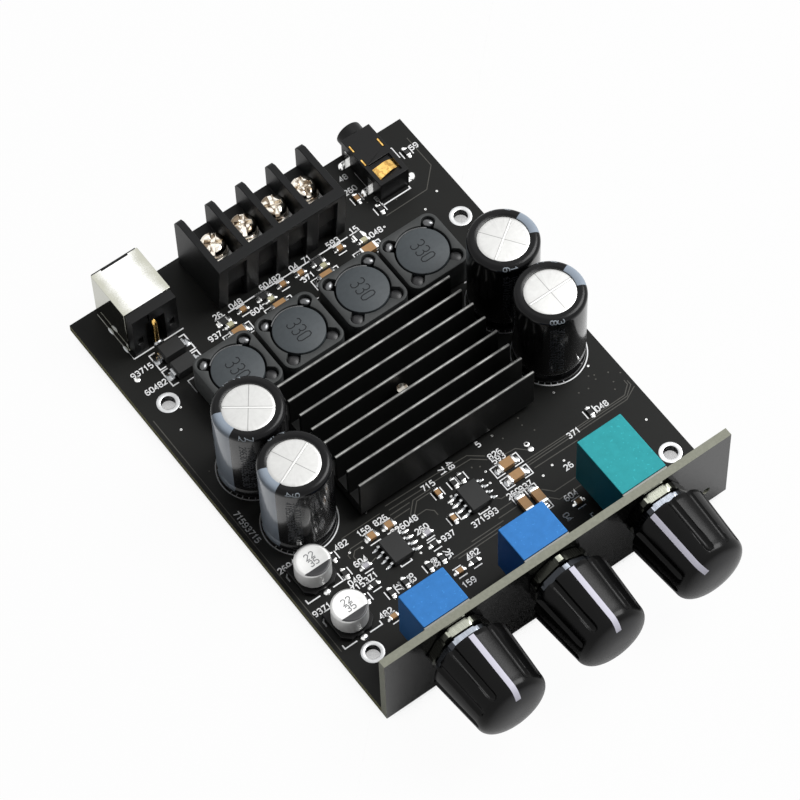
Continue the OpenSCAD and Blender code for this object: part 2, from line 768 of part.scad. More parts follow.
module audio_contacts() {
  side = aj_w / 2;
  color("#c8a45a") at_audio() {
    translate([-1.9, 1, aj_h - 0.55]) cube([3.8, 3.6, 0.25]);
    for (f = aj_feet) {
      translate([f[0] * (side - 0.2) - 0.1, f[1] - foot_l / 2, 0]) cube([0.2, foot_l, 3]);
      translate([f[0] * (side + 0.4) - 0.6, f[1] - foot_l / 2, 0]) cube([1.2, foot_l, foot_t]);
    }
    for (y = [4.9, 8.4]) translate([-2.65, y + 0.1, aj_h - 1.2]) cube([0.25, 1.4, 1]);
    translate([2.2, 6.5, aj_h - 1.2]) cube([0.25, 1.8, 1]);
  }
}

module inductor(i) {
  color("#4b4e52") on_board(ind_x[i], ind_y) difference() {
    linear_extrude(ind_h) soft_square(ind_w, ind_w, ind_r);
    translate([0, 0, ind_floor]) cylinder(d = drum_d + 2 * drum_gap, h = ind_h);
    for (sx = [-1, 1], sy = [-1, 1])
      translate([sx * notch_at, sy * notch_at, ind_floor]) cylinder(d = notch_d, h = ind_h);
  }
}

module inductor_drums() {
  r = drum_d / 2;
  color("#5d646b") for (x = ind_x)
    on_board(x, ind_y) rotate_extrude()
      polygon([
        [0, ind_floor],
        [r, ind_floor],
        [r, ind_floor + 1],
        [r - 0.4, ind_floor + 1],
        [r - 0.4, ind_h - 1.2],
        [r, ind_h - 1.2],
        [r, ind_h - 0.3],
        [r - 0.2, ind_h - 0.1],
        [0, ind_h - 0.1]
      ]);
}

module inductor_posts() {
  color("#c9c9c6") for (x = ind_x, s = [-1, 1])
    on_board(x + s * (notch_at + 0.25), ind_y + notch_at + 0.25, ind_floor)
      cylinder(d = 1.3, h = ind_h - ind_floor - 0.2);
}

// Outline of a capacitor can or sleeve face, at a distance inside the outer surface
function can_curve(inset) =
  let (r = cap_d / 2 - inset)
  concat(
    [[r, cap_foot], [r, 1.6], [r - 0.35, 2.1], [r, 2.6]],
    [for (k = [0:round_steps])
      let (t = 90 * k / round_steps)
      [r - cap_round + cap_round * cos(t), cap_h - inset - cap_round + cap_round * sin(t)]]
  );

module sleeve(i) {
  inner = can_curve(sleeve_t);
  last = len(inner) - 1;
  color("#1b1b1d") on_board(cap_at[i][0], cap_at[i][1]) rotate_extrude()
    polygon(concat(
      can_curve(0),
      [[lip_d / 2, cap_h], [lip_d / 2, cap_h - sleeve_t]],
      [for (k = [0:last]) inner[last - k]]
    ));
}

module capacitor_cans() {
  color("#c4c6c8") for (c = cap_at)
    on_board(c[0], c[1]) rotate_extrude()
      polygon(concat([[0, cap_foot]], can_curve(sleeve_t), [[0, cap_h - sleeve_t]]));
}

module capacitor_leads() {
  color("#c9c9c6") for (c = cap_at, s = [-1, 1])
    on_board(c[0] + s * cap_lead_pitch / 2, c[1], -board_t - tail)
      cylinder(d = cap_lead_d, h = board_t + tail + cap_foot);
}

// Section of the heat sink across its fins, which have rounded tops
module sink_section() {
  square([sink_l, sink_base]);
  for (k = [0:sink_fins - 1]) translate([k * sink_pitch, 0]) {
    square([sink_fin_t, sink_h - sink_fin_t / 2]);
    translate([sink_fin_t / 2, sink_h - sink_fin_t / 2]) circle(d = sink_fin_t);
  }
}

module heatsink() {
  color("#1d1d1d") on_board(sink_shift - sink_w / 2, sink_y, sink_z) difference() {
    rotate([90, 0, 90]) linear_extrude(sink_w) sink_section();
    translate([sink_screw_x - sink_shift + sink_w / 2, sink_l / 2, -1])
      cylinder(d = sink_screw_d + 2 * thread_gap, h = sink_base + 2);
  }
}

module heatsink_screw() {
  r = sink_screw_d * 0.9;
  color("#d2d2ce") on_board(sink_screw_x, sink_mid, -board_t) difference() {
    union() {
      translate([0, 0, -1.1]) rotate_extrude() polygon([[0, 0], [r - 0.5, 0], [r, 0.5], [r, 1.1], [0, 1.1]]);
      cylinder(d = sink_screw_d, h = board_t + sink_z + sink_h - sink_screw_low);
    }
    for (a = [0, 90]) rotate([0, 0, a]) translate([-1, -0.25, -2]) cube([2, 0.5, 1.5]);
  }
}

module amplifier_chip() {
  color("#202022") on_board(amp_x, sink_mid) rotate([90, 0, 0]) translate([0, 0, -amp_l / 2])
    linear_extrude(amp_l) chip_section(amp_w, amp_h);
}

module thermal_pad() {
  color("#9aa0a6") on_board(amp_x - amp_w / 2, sink_mid - amp_l / 2, amp_h) cube([amp_w, amp_l, pad_t]);
}

module small_cans() {
  r = can_d / 2;
  color("#d3d6d8") for (y = can_y)
    on_board(can_x, y) rotate_extrude()
      polygon([
        [0, 0.9],
        [r - 0.35, 0.9],
        [r - 0.35, 1.3],
        [r, 1.6],
        [r, can_h - 0.5],
        [r - 0.15, can_h - 0.15],
        [r - 0.5, can_h],
        [0, can_h]
      ]);
}

module small_can_bases() {
  h = can_d / 2 + 0.15;
  color("#17181a") for (y = can_y)
    on_board(can_x, y) linear_extrude(0.9)
      polygon([[-h, -h + 1.3], [-h + 1.3, -h], [h - 1.3, -h], [h, -h + 1.3], [h, h], [-h, h]]);
}

// Moulded chip outline with a parting line, seen from its end
module chip_section(w, h) {
  polygon([
    [-w / 2 + 0.12, 0.1],
    [w / 2 - 0.12, 0.1],
    [w / 2, h / 2],
    [w / 2 - 0.12, h],
    [-w / 2 + 0.12, h],
    [-w / 2, h / 2]
  ]);
}

// Bent lead of a given width, leaving a body at x, its foot reaching a length further
module gull_lead(x, reach, mid, width, t) {
  step = reach * 0.4;
  rotate([90, 0, 0]) translate([0, 0, -width / 2]) linear_extrude(width)
    polygon([
      [x, mid - t / 2],
      [x + step - t / 2, mid - t / 2],
      [x + step - t / 2, 0],
      [x + reach, 0],
      [x + reach, t],
      [x + step + t / 2, t],
      [x + step + t / 2, mid + t / 2],
      [x, mid + t / 2]
    ]);
}

module signal_chips() {
  color("#26272a") for (c = so_at)
    on_board(c[0], c[1]) rotate([90, 0, 0]) translate([0, 0, -so_l / 2])
      linear_extrude(so_l) chip_section(so_w, so_h);
}

module diodes() {
  color("#1c1c1e") for (c = diode_at)
    on_board(c[0], c[1]) rotate([90, 0, 0]) translate([0, 0, -diode_w / 2])
      linear_extrude(diode_w) chip_section(diode_l, diode_h);
}

module chip_leads() {
  color("#d6d6d2") {
    for (c = so_at, s = [0, 180], k = [0:3])
      on_board(c[0], c[1]) rotate([0, 0, s]) translate([0, (k - 1.5) * so_pitch, 0])
        gull_lead(so_w / 2, 1.05, so_h / 2, 0.42, 0.2);
    for (c = diode_at, s = [0, 180])
      on_board(c[0], c[1]) rotate([0, 0, s]) gull_lead(diode_l / 2, 0.8, diode_h / 2, 1.5, 0.25);
    for (s = [0, 180], k = [0:15])
      on_board(amp_x, sink_mid) rotate([0, 0, s]) translate([0, (k - 7.5) * 0.65, 0])
        gull_lead(amp_w / 2, 0.95, amp_h / 2, 0.25, 0.15);
  }
}

// Body of a chip part between its plated ends
module chip_core(c) {
  k = chip_kind[c[2]];
  on_board(c[0], c[1]) rotate([0, 0, c[3]]) translate([k[3] - k[0] / 2, -k[1] / 2, 0.05])
    cube([k[0] - 2 * k[3], k[1], k[2] - 0.05]);
}

module chip_capacitors() {
  color("#b98a5c") for (c = cap_chips) chip_core(c);
}

module chip_resistors() {
  color("#242426") for (c = res_chips) chip_core(c);
}

module chip_ends() {
  color("#dcdcd8") for (c = concat(cap_chips, res_chips), s = [0, 180]) {
    k = chip_kind[c[2]];
    on_board(c[0], c[1]) rotate([0, 0, c[3] + s]) translate([k[0] / 2 - k[3], -k[1] / 2, 0])
      cube([k[3], k[1], k[2]]);
  }
}

main_board();
front_panel();
panel_nuts();
pot_pins();
pot_body(0);  // bass_body
pot_frame(0);  // bass_frame
pot_shaft(0);  // bass_shaft
knob(0);  // bass_knob
pointer(0);  // bass_pointer
pot_body(1);  // treble_body
pot_frame(1);  // treble_frame
pot_shaft(1);  // treble_shaft
knob(1);  // treble_knob
pointer(1);  // treble_pointer
pot_body(2);  // volume_body
pot_frame(2);  // volume_frame
pot_shaft(2);  // volume_shaft
knob(2);  // volume_knob
pointer(2);  // volume_pointer
terminal_housing();
terminal_contacts();
washer(0);  // washer_1
washer(1);  // washer_2
washer(2);  // washer_3
washer(3);  // washer_4
screw(0);  // screw_1
screw(1);  // screw_2
screw(2);  // screw_3
screw(3);  // screw_4
dc_housing();
dc_shield();
dc_pin();
dc_spring();
audio_housing();
audio_contacts();
inductor(0);  // inductor_1
inductor(1);  // inductor_2
inductor(2);  // inductor_3
inductor(3);  // inductor_4
inductor_drums();
inductor_posts();
sleeve(0);  // sleeve_1
sleeve(1);  // sleeve_2
sleeve(2);  // sleeve_3
sleeve(3);  // sleeve_4
capacitor_cans();
capacitor_leads();
heatsink();
heatsink_screw();
amplifier_chip();
thermal_pad();
small_cans();
small_can_bases();
signal_chips();
diodes();
chip_leads();
chip_capacitors();
chip_resistors();
chip_ends();
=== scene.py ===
"""Looks of an open-frame audio amplifier board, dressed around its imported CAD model.

Sizes are in millimetres of the board's own frame: x from the board's centre line, y from the front panel's
back face, z from the board's component side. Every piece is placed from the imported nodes.
"""

import json
import logging
import math
from collections.abc import Callable, Iterable, Sequence
from dataclasses import dataclass, field
from enum import Enum

import bpy
from mathutils import Matrix, Vector


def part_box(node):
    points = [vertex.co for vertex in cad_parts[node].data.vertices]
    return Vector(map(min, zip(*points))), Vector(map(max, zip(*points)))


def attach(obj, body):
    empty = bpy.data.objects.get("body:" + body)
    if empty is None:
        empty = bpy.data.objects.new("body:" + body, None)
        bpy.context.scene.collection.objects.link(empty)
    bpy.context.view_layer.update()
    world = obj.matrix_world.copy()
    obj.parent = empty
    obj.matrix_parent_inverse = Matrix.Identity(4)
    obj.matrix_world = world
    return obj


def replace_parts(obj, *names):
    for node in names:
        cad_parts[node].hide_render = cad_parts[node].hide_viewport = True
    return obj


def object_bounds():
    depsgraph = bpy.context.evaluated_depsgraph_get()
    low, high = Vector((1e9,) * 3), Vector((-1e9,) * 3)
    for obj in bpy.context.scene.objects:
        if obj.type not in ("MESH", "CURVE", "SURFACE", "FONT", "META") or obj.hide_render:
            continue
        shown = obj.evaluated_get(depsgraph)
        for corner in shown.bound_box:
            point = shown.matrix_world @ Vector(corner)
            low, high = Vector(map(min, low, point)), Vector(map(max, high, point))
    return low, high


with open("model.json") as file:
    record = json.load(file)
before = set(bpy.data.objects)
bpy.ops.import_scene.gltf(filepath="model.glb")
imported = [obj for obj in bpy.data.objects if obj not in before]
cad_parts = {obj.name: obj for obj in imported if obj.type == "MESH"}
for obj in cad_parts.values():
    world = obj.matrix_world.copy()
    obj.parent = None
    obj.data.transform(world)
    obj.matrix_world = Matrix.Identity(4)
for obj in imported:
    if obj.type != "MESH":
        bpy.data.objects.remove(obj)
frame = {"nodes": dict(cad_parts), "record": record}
CAD_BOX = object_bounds()
LOG = logging.getLogger("amplifier")

MM = 0.001
BURIED = -0.02
Colour = tuple[float, float, float]
Point = tuple[float, float]
Place = tuple[float, float, float]


class Turn(Enum):
    """Reading direction of a printed number on the board, in degrees about +Z."""

    ACROSS = 0.0
    TOWARDS = -90.0


class Vent(Enum):
    """Angle of the scored cross in a capacitor's top, in degrees."""

    BACKWARD = -36.5
    SQUARE = 0.0
    SLANTED = 24.0
    STEEP = 35.0


def board_origin() -> Vector:
    """Returns the board frame's origin in the part's frame, in metres."""
    low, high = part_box("main_board")
    return Vector(((low.x + high.x) / 2, low.y, high.z))


ORIGIN = board_origin()


def spot(x: float, y: float, z: float = 0.0) -> Vector:
    """Gives the place of a board point.

    Args:
        x: Millimetres to the right of the centre line.
        y: Millimetres behind the front panel's back face.
        z: Millimetres above the component side.

    Returns:
        The point in the part's frame, in metres.
    """
    return ORIGIN + Vector((x, y, z)) * MM


def extent(node: str) -> tuple[Vector, Vector]:
    """Gives a CAD node's box in board millimetres.

    Args:
        node: Name of the CAD node.

    Returns:
        Its lowest and highest corner.
    """
    low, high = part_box(node)
    return (low - ORIGIN) / MM, (high - ORIGIN) / MM


def middle_of(box: tuple[Vector, Vector]) -> Vector:
    """Returns the centre of a box."""
    return (box[0] + box[1]) / 2


def middle(node: str) -> Vector:
    """Returns the centre of a CAD node's box in board millimetres."""
    return middle_of(extent(node))


def islands(node: str) -> list[tuple[Vector, Vector]]:
    """Splits a CAD node into its separate solids.

    Args:
        node: Name of a CAD node that groups several solids.

    Returns:
        The box of each solid in board millimetres.
    """
    mesh = frame["nodes"][node].data
    keys: dict[tuple[int, ...], int] = {}
    same = [keys.setdefault(tuple(round(c * 1e7) for c in v.co), len(keys)) for v in mesh.vertices]
    parent = list(range(len(keys)))

    def root(i: int) -> int:
        """Follows the links of a merged vertex.

        Args:
            i: Number of the vertex.

        Returns:
            Number of its group.
        """
        while parent[i] != i:
            parent[i] = parent[parent[i]]
            i = parent[i]
        return i

    for polygon in mesh.polygons:
        first = root(same[polygon.vertices[0]])
        for v in polygon.vertices[1:]:
            parent[root(same[v])] = first
    boxes: dict[int, tuple[Vector, Vector]] = {}
    for vertex, key in zip(mesh.vertices, same):
        p = (vertex.co - ORIGIN) / MM
        low, high = boxes.get(root(key), (p, p))
        boxes[root(key)] = (Vector(map(min, low, p)), Vector(map(max, high, p)))
    return list(boxes.values())


# Shaders


class Sock:
    """One output of a shader node; operators between values add Math nodes."""

    def __init__(self, shader: "Shader", socket: bpy.types.NodeSocket) -> None:
        """Wraps a socket of a shader's node tree."""
        self.shader = shader
        self.socket = socket

    def math(self, operation: str, *values: "Sock | float") -> "Sock":
        """Adds a Math node.

        Args:
            operation: The Math node's operation.
            values: Its inputs in order.

        Returns:
            The node's result.
        """
        return self.shader.add("ShaderNodeMath", {"operation": operation}, dict(enumerate(values)))[0]

    def __add__(self, other: "Sock | float") -> "Sock":
        """Adds two values."""
        return self.math("ADD", self, other)

    __radd__ = __add__

    def __sub__(self, other: "Sock | float") -> "Sock":
        """Subtracts a value from this one."""
        return self.math("SUBTRACT", self, other)

    def __rsub__(self, other: float) -> "Sock":
        """Subtracts this value from a number."""
        return self.math("SUBTRACT", other, self)

    def __mul__(self, other: "Sock | float") -> "Sock":
        """Multiplies two values."""
        return self.math("MULTIPLY", self, other)

    __rmul__ = __mul__

    def __truediv__(self, other: "Sock | float") -> "Sock":
        """Divides this value by another."""
        return self.math("DIVIDE", self, other)

    def __rtruediv__(self, other: float) -> "Sock":
        """Divides a number by this value."""
        return self.math("DIVIDE", other, self)

    def __neg__(self) -> "Sock":
        """Changes the value's sign."""
        return self.math("MULTIPLY", self, -1.0)

    def __abs__(self) -> "Sock":
        """Drops the value's sign."""
        return self.math("ABSOLUTE", self)

    def above(self, edge: float, soft: float) -> "Sock":
        """Makes a mask.

        Args:
            edge: Value at which the mask is half on.
            soft: Width of the change.

        Returns:
            A mask that is 1 above the edge and 0 below it.
        """
        settings = {"interpolation_type": "SMOOTHSTEP"}
        ends = {"From Min": edge - soft / 2, "From Max": edge + soft / 2, "To Min": 0.0, "To Max": 1.0}
        return self.shader.add("ShaderNodeMapRange", settings, {"Value": self, **ends})[0]

    def below(self, edge: float, soft: float) -> "Sock":
        """Returns the opposite of the mask above an edge."""
        return 1.0 - self.above(edge, soft)

    def lowest(self, other: "Sock | float") -> "Sock":
        """Returns the smaller of two values."""
        return self.math("MINIMUM", self, other)


def lighter(colour: Colour, share: float) -> Colour:
    """Returns a colour multiplied by a share and kept at or below white."""
    return tuple(min(1.0, c * share) for c in colour)


class Shader:
    """The node tree of one material, or of the world."""

    def __init__(self, name: str, world: bool = False) -> None:
        """Starts an empty node tree.

        Args:
            name: Name of the material or world.
            world: Whether it is the world's tree.
        """
        self.owner = (bpy.data.worlds if world else bpy.data.materials).new(name)
        self.owner.use_nodes = True
        self.tree = self.owner.node_tree
        self.tree.nodes.clear()
        self.output = "ShaderNodeOutputWorld" if world else "ShaderNodeOutputMaterial"

    def add(self, kind: str, settings: dict | None = None, inputs: dict | None = None) -> list[Sock]:
        """Adds a node.

        Args:
            kind: The node's type.
            settings: Its own properties.
            inputs: Values or links of its sockets, by name or number.

        Returns:
            The node's outputs in order.
        """
        node = self.tree.nodes.new(kind)
        for key, value in (settings or {}).items():
            setattr(node, key, value)
        for key, value in (inputs or {}).items():
            target = node.inputs[key]
            if isinstance(value, Sock):
                self.tree.links.new(value.socket, target)
            elif isinstance(value, tuple) and target.type == "RGBA":
                target.default_value = (*value[:3], 1.0)
            else:
                target.default_value = value
        return [Sock(self, s) for s in node.outputs]

    def place(self) -> Sock:
        """Returns the surface point in the piece's own frame, in metres."""
        return self.add("ShaderNodeTexCoord")[3]

    def split(self, vector: Sock) -> list[Sock]:
        """Returns the three parts of a vector."""
        return self.add("ShaderNodeSeparateXYZ", None, {0: vector})

    def facing(self) -> list[Sock]:
        """Returns the three parts of the surface's direction."""
        return self.split(self.add("ShaderNodeNewGeometry")[1])

    def noise(self, size: float, detail: float = 3.0, stretch: Colour = (1.0, 1.0, 1.0)) -> Sock:
        """Adds a noise texture.

        Args:
            size: Size of its spots in millimetres.
            detail: Number of finer layers.
            stretch: Scale along each axis.

        Returns:
            A value around one half.
        """
        moved = self.add("ShaderNodeMapping", None, {"Vector": self.place(), "Scale": stretch})[0]
        values = {"Vector": moved, "Scale": 1.0 / (size * MM), "Detail": detail}
        return self.add("ShaderNodeTexNoise", None, values)[0]

    def mix(self, factor: Sock | float, first: Sock | Colour, second: Sock | Colour) -> Sock:
        """Mixes two colours.

        Args:
            factor: Share of the second colour.
            first: Colour at factor 0.
            second: Colour at factor 1.

        Returns:
            The mixed colour.
        """
        return self.add("ShaderNodeMix", {"data_type": "RGBA"}, {0: factor, 6: first, 7: second})[2]

    def varied(self, value: Sock, colour: Colour, low: float, high: float) -> Sock:
        """Varies a colour between two shares of it.

        Args:
            value: A value between 0 and 1.
            colour: The middle colour.
            low: Share of the colour at 0.
            high: Share of the colour at 1.

        Returns:
            The varied colour.
        """
        return self.mix(value, lighter(colour, low), lighter(colour, high))

    def bump(self, height: Sock, depth: float, strength: float = 1.0) -> Sock:
        """Turns a height into a surface direction.

        Args:
            height: Height as a share of the depth.
            depth: Depth in millimetres.
            strength: Share of the effect.

        Returns:
            The direction for a shader's Normal socket.
        """
        values = {"Height": height, "Distance": depth * MM, "Strength": strength}
        return self.add("ShaderNodeBump", None, values)[0]

    def surface(self, **sockets: "Sock | float | Colour") -> bpy.types.Material:
        """Closes the material with a Principled shader.

        Args:
            sockets: The shader's sockets, with underscores for spaces.

        Returns:
            The finished material.
        """
        values = {key.replace("_", " "): value for key, value in sockets.items()}
        self.close(self.add("ShaderNodeBsdfPrincipled", None, values)[0])
        return self.owner

    def close(self, surface: Sock) -> None:
        """Links the finished surface to the tree's output."""
        self.add(self.output, None, {"Surface": surface})

    def seen(self) -> Sock:
        """Returns 1 for rays from the camera, from gloss and through clear pieces, and 0 for lighting rays."""
        path = self.add("ShaderNodeLightPath")
        return (path[0] + path[3] + path[6]).lowest(1.0)


@dataclass(frozen=True)
class Finish:
    """A moulded or plain finish with mottled colour, uneven gloss and fine relief.

    The colour is multiplied by one share on upright faces, a painted shade, and by another on faces that look out
    of the panel, a painted sheen.
    """

    name: str
    colour: Colour
    roughness: float
    metallic: float = 0.0
    specular: float = 0.5
    mottle: float = 0.12
    spot_size: float = 1.2
    grain: float = 0.12
    relief: float = 0.006
    specks: float = 0.0
    side_shade: float = 1.0
    front: float = 1.0

    def build(self) -> bpy.types.Material:
        """Returns the finish as a material."""
        shader = Shader(self.name)
        cloud = shader.noise(self.spot_size)
        fine = shader.noise(self.grain, 2.0)
        speck = shader.noise(0.5, 1.0).above(0.7, 0.08) * self.specks
        mottled = shader.varied(cloud, self.colour, 1 - self.mottle, 1 + self.mottle)
        colour = shader.mix(speck, mottled, lighter(self.colour, 1.8))
        # Upright faces take a smaller share of the colour: painted shade, used on the pot bodies.
        if self.side_shade != 1.0:
            upper = shader.facing()[2].above(0.5, 0.4)
            colour = shader.mix(upper, lighter(self.colour, self.side_shade), colour)
        # Faces that look out of the panel take a larger share of the colour: a painted sheen, used on the knob's
        # end.
        if self.front != 1.0:
            sheen_faces = (-shader.facing()[1]).above(0.82, 0.3)
            colour = shader.mix(sheen_faces, colour, lighter(self.colour, self.front))
        return shader.surface(
            Base_Color=colour,
            Metallic=self.metallic,
            Roughness=(fine - 0.5) * 0.16 + self.roughness,
            Specular_IOR_Level=self.specular,
            Normal=shader.bump(fine, self.relief),
        )


@dataclass(frozen=True)
class BrushedFinish:
    """A metal finish with fine drawn lines along one direction.

    The colour is multiplied by a share on faces that don't look up, a painted shade; brown patches are added,
    painted reflections of warm surroundings on the screws and washers and patina on the gold spring.
    """

    name: str
    colour: Colour
    roughness: float
    stretch: Colour = (1.0, 0.04, 1.0)
    relief: float = 0.004
    swell: float = 0.0
    flank_shade: float = 1.0
    patina_and_reflection: float = 0.0
    patina_and_reflection_size: float = 1.7
    patina_and_reflection_colour: Colour = (0.13, 0.085, 0.045)

    def build(self) -> bpy.types.Material:
        """Returns the finish as a material."""
        shader = Shader(self.name)
        lines = shader.noise(0.12, 2.0, self.stretch)
        cloud = shader.noise(2.5)
        wave = shader.noise(1.1, 1.0)
        metal = shader.varied(cloud, self.colour, 0.88, 1.06)
        # Faces that don't look up take a share of the colour: painted shade, used on the nuts.
        upper = shader.facing()[2].above(0.94, 0.1)
        side_shaded = shader.mix(upper, lighter(self.colour, self.flank_shade), metal)
        # Brown patches: painted reflections of warm surroundings on the screws and washers, patina on the gold
        # spring.
        patch = shader.noise(self.patina_and_reflection_size, 1.0).above(0.53, 0.1) * self.patina_and_reflection
        return shader.surface(
            Base_Color=shader.mix(patch, side_shaded, self.patina_and_reflection_colour),
            Metallic=1.0,
            Roughness=(lines - 0.5) * 0.25 + self.roughness,
            Normal=shader.bump(lines * self.relief + wave * self.swell, 1.0),
        )


@dataclass(frozen=True)
class ShieldFinish:
    """Bright pressed sheet, painted brightest along its middle and dull towards its two long edges: a painted
    glare, with the roughness rising towards the edges.
    """

    name: str
    colour: Colour
    dull: Colour
    centre: float
    half: float

    def build(self) -> bpy.types.Material:
        """Returns the finish as a material."""
        shader = Shader(self.name)
        x = shader.split(shader.place())[0]
        off = abs((x - ORIGIN.x) / MM - self.centre)
        grain = shader.noise(0.2, 3.0)
        cloud = shader.noise(3.0, 2.0)
        # Colour painted bright along the middle and dull towards the long edges: a painted glare.
        off_glare = (off + (grain - 0.5) * 2.6 + (cloud - 0.5) * 2.0).above(self.half * 0.66, self.half * 0.6)
        return shader.surface(
            Base_Color=shader.mix(off_glare, self.colour, self.dull),
            Metallic=1.0,
            Roughness=0.06 + shader.facing()[2].above(0.5, 0.4) * (0.14 + off_glare * 0.12),
            Normal=shader.bump(grain, 0.002),
        )


@dataclass(frozen=True)
class FinFinish:
    """Black anodised fins whose top edges are painted bright and metallic: a painted highlight."""

    name: str
    colour: Colour
    pale_tone: Colour
    top: float

    def build(self) -> bpy.types.Material:
        """Returns the finish as a material."""
        shader = Shader(self.name)
        z = shader.split(shader.place())[2]
        height = (z - ORIGIN.z) / MM
        # Top edges facing up are painted bright and metallic: a painted highlight.
        edge = shader.facing()[2].above(0.5, 0.5) * height.above(self.top - 0.3, 0.1)
        painted_highlight = edge * (0.6 + shader.noise(2.5).above(0.5, 0.3) * 0.4)
        fine = shader.noise(0.16, 2.0)
        black = shader.varied(shader.noise(1.2), self.colour, 0.75, 1.25)
        return shader.surface(
            Base_Color=shader.mix(painted_highlight, black, self.pale_tone),
            Metallic=painted_highlight,
            Roughness=0.46 + (fine - 0.5) * 0.16,
            Specular_IOR_Level=0.14,
            Normal=shader.bump(fine, 0.005),
        )


@dataclass(frozen=True)
class LaminateFinish:
    """Solder mask on glass-fibre laminate: the mask on the broad faces, bare layers on the cut edges."""

    name: str
    mask: Colour
    edge: Colour
    roughness: float
    specular: float
    relief: float = 0.004
    upright: bool = False

    def build(self) -> bpy.types.Material:
        """Returns the finish as a material."""
        shader = Shader(self.name)
        facing = shader.facing()
        face = abs(facing[1] if self.upright else facing[2]).above(0.6, 0.2)
        cloud = shader.noise(6.0, 4.0)
        weave = shader.noise(0.35, 2.0)
        mask = shader.varied(cloud, self.mask, 0.8, 1.25)
        fibre = shader.varied(shader.noise(0.5, 3.0), self.edge, 0.75, 1.2)
        return shader.surface(
            Base_Color=shader.mix(face, fibre, mask),
            Roughness=0.75 - face * (0.75 - self.roughness) + (weave - 0.5) * 0.1,
            Specular_IOR_Level=self.specular,
            Normal=shader.bump(weave, self.relief),
        )


@dataclass(frozen=True)
class SleeveFinish:
    """Black heat-shrink film with a pale polarity band down one side and over the shoulder."""

    name: str
    film: Colour
    band: Colour
    side: float
    half_angle: float = 24.0
    foot: float = 1.0

    def build(self) -> bpy.types.Material:
        """Returns the finish as a material."""
        shader = Shader(self.name)
        x, y, z = shader.split(shader.place())
        angle = x.math("ARCTAN2", y, x * self.side)
        band = abs(angle).below(math.radians(self.half_angle), 0.015) * (z / MM).above(self.foot, 0.2)
        cloud = shader.noise(3.0)
        film = shader.varied(cloud, self.film, 0.7, 1.4)
        pale_tone = shader.varied(shader.noise(1.1), self.band, 0.93, 1.06)
        return shader.surface(
            Base_Color=shader.mix(band, film, pale_tone),
            Roughness=0.2 + cloud * 0.08 + band * 0.1,
            Specular_IOR_Level=0.16,
            Coat_Weight=shader.facing()[2].below(0.45, 0.5) * 0.6,
            Coat_Roughness=0.1,
            Normal=shader.bump(shader.noise(2.4, 1.0), 0.02, 0.2),
        )


@dataclass(frozen=True)
class VentFinish:
    """Bright aluminium top with a pressed cross: one raised bar painted lighter as a highlight with painted shade
    along it, and one fine cut painted dark as shade.
    """

    name: str
    colour: Colour
    vent: Vent
    reach: float = 4.35
    bar: float = 0.17
    cut: float = 0.05
    rays: float = 9.0
    ray_bend: float = 0.03

    def build(self) -> bpy.types.Material:
        """Returns the finish as a material."""
        shader = Shader(self.name)
        x, y, _ = shader.split(shader.place())
        turn = math.radians(self.vent.value)
        u = (x * math.cos(turn) + y * math.sin(turn)) / MM
        v = (y * math.cos(turn) - x * math.sin(turn)) / MM
        spread = u * u + v * v
        inside = spread.below(self.reach * self.reach, 0.8)
        # The raised bar is painted lighter, a painted highlight; the colour beside it and in the cut is painted
        # dark, painted shade.
        bar = abs(v).below(self.bar, 0.06) * inside
        bar_side_shade = abs(v).below(self.bar + 0.07, 0.05) * inside * (1.0 - bar)
        cut = abs(u).below(self.cut, 0.06) * inside * (1.0 - bar)
        polar = {0: x.math("ARCTAN2", y, x) * self.rays, 1: spread * self.ray_bend}
        turned = shader.add("ShaderNodeCombineXYZ", None, polar)[0]
        rays = shader.add("ShaderNodeTexNoise", None, {"Vector": turned, "Scale": 1.6, "Detail": 3.0})[0]
        cloud = shader.noise(0.7, 4.0)
        metal = shader.varied(cloud * 0.5 + rays * 0.5, self.colour, 0.84, 1.1)
        scored = shader.mix(bar_side_shade * 0.45 + cut * 0.75, metal, lighter(self.colour, 0.2))
        return shader.surface(
            Base_Color=shader.mix(bar, scored, lighter(self.colour, 1.2)),
            Metallic=1.0,
            Roughness=0.36 + (rays - 0.5) * 0.2,
            Normal=shader.bump(bar + rays * 0.08 + cloud * 0.06, 0.06),
        )


@dataclass(frozen=True)
class SegmentFinish:
    """Bright can with a dark printed segment on its top."""

    name: str
    colour: Colour
    ink: Colour
    chord: float
    top: float

    def build(self) -> bpy.types.Material:
        """Returns the finish as a material."""
        shader = Shader(self.name)
        _, y, z = shader.split(shader.place())
        print_mask = (y / MM).below(self.chord, 0.06) * (z / MM).above(self.top, 0.04)
        side = (z / MM).below(self.top - 0.4, 0.3)
        metal = shader.varied(shader.noise(0.9, 2.0), self.colour, 0.92, 1.05)
        return shader.surface(
            Base_Color=shader.mix(print_mask, metal, self.ink),
            Metallic=(1.0 - print_mask) * (0.75 - side * 0.3),
            Roughness=0.46 + side * 0.04,
            Normal=shader.bump(shader.noise(1.5, 1.0), 0.01),
        )


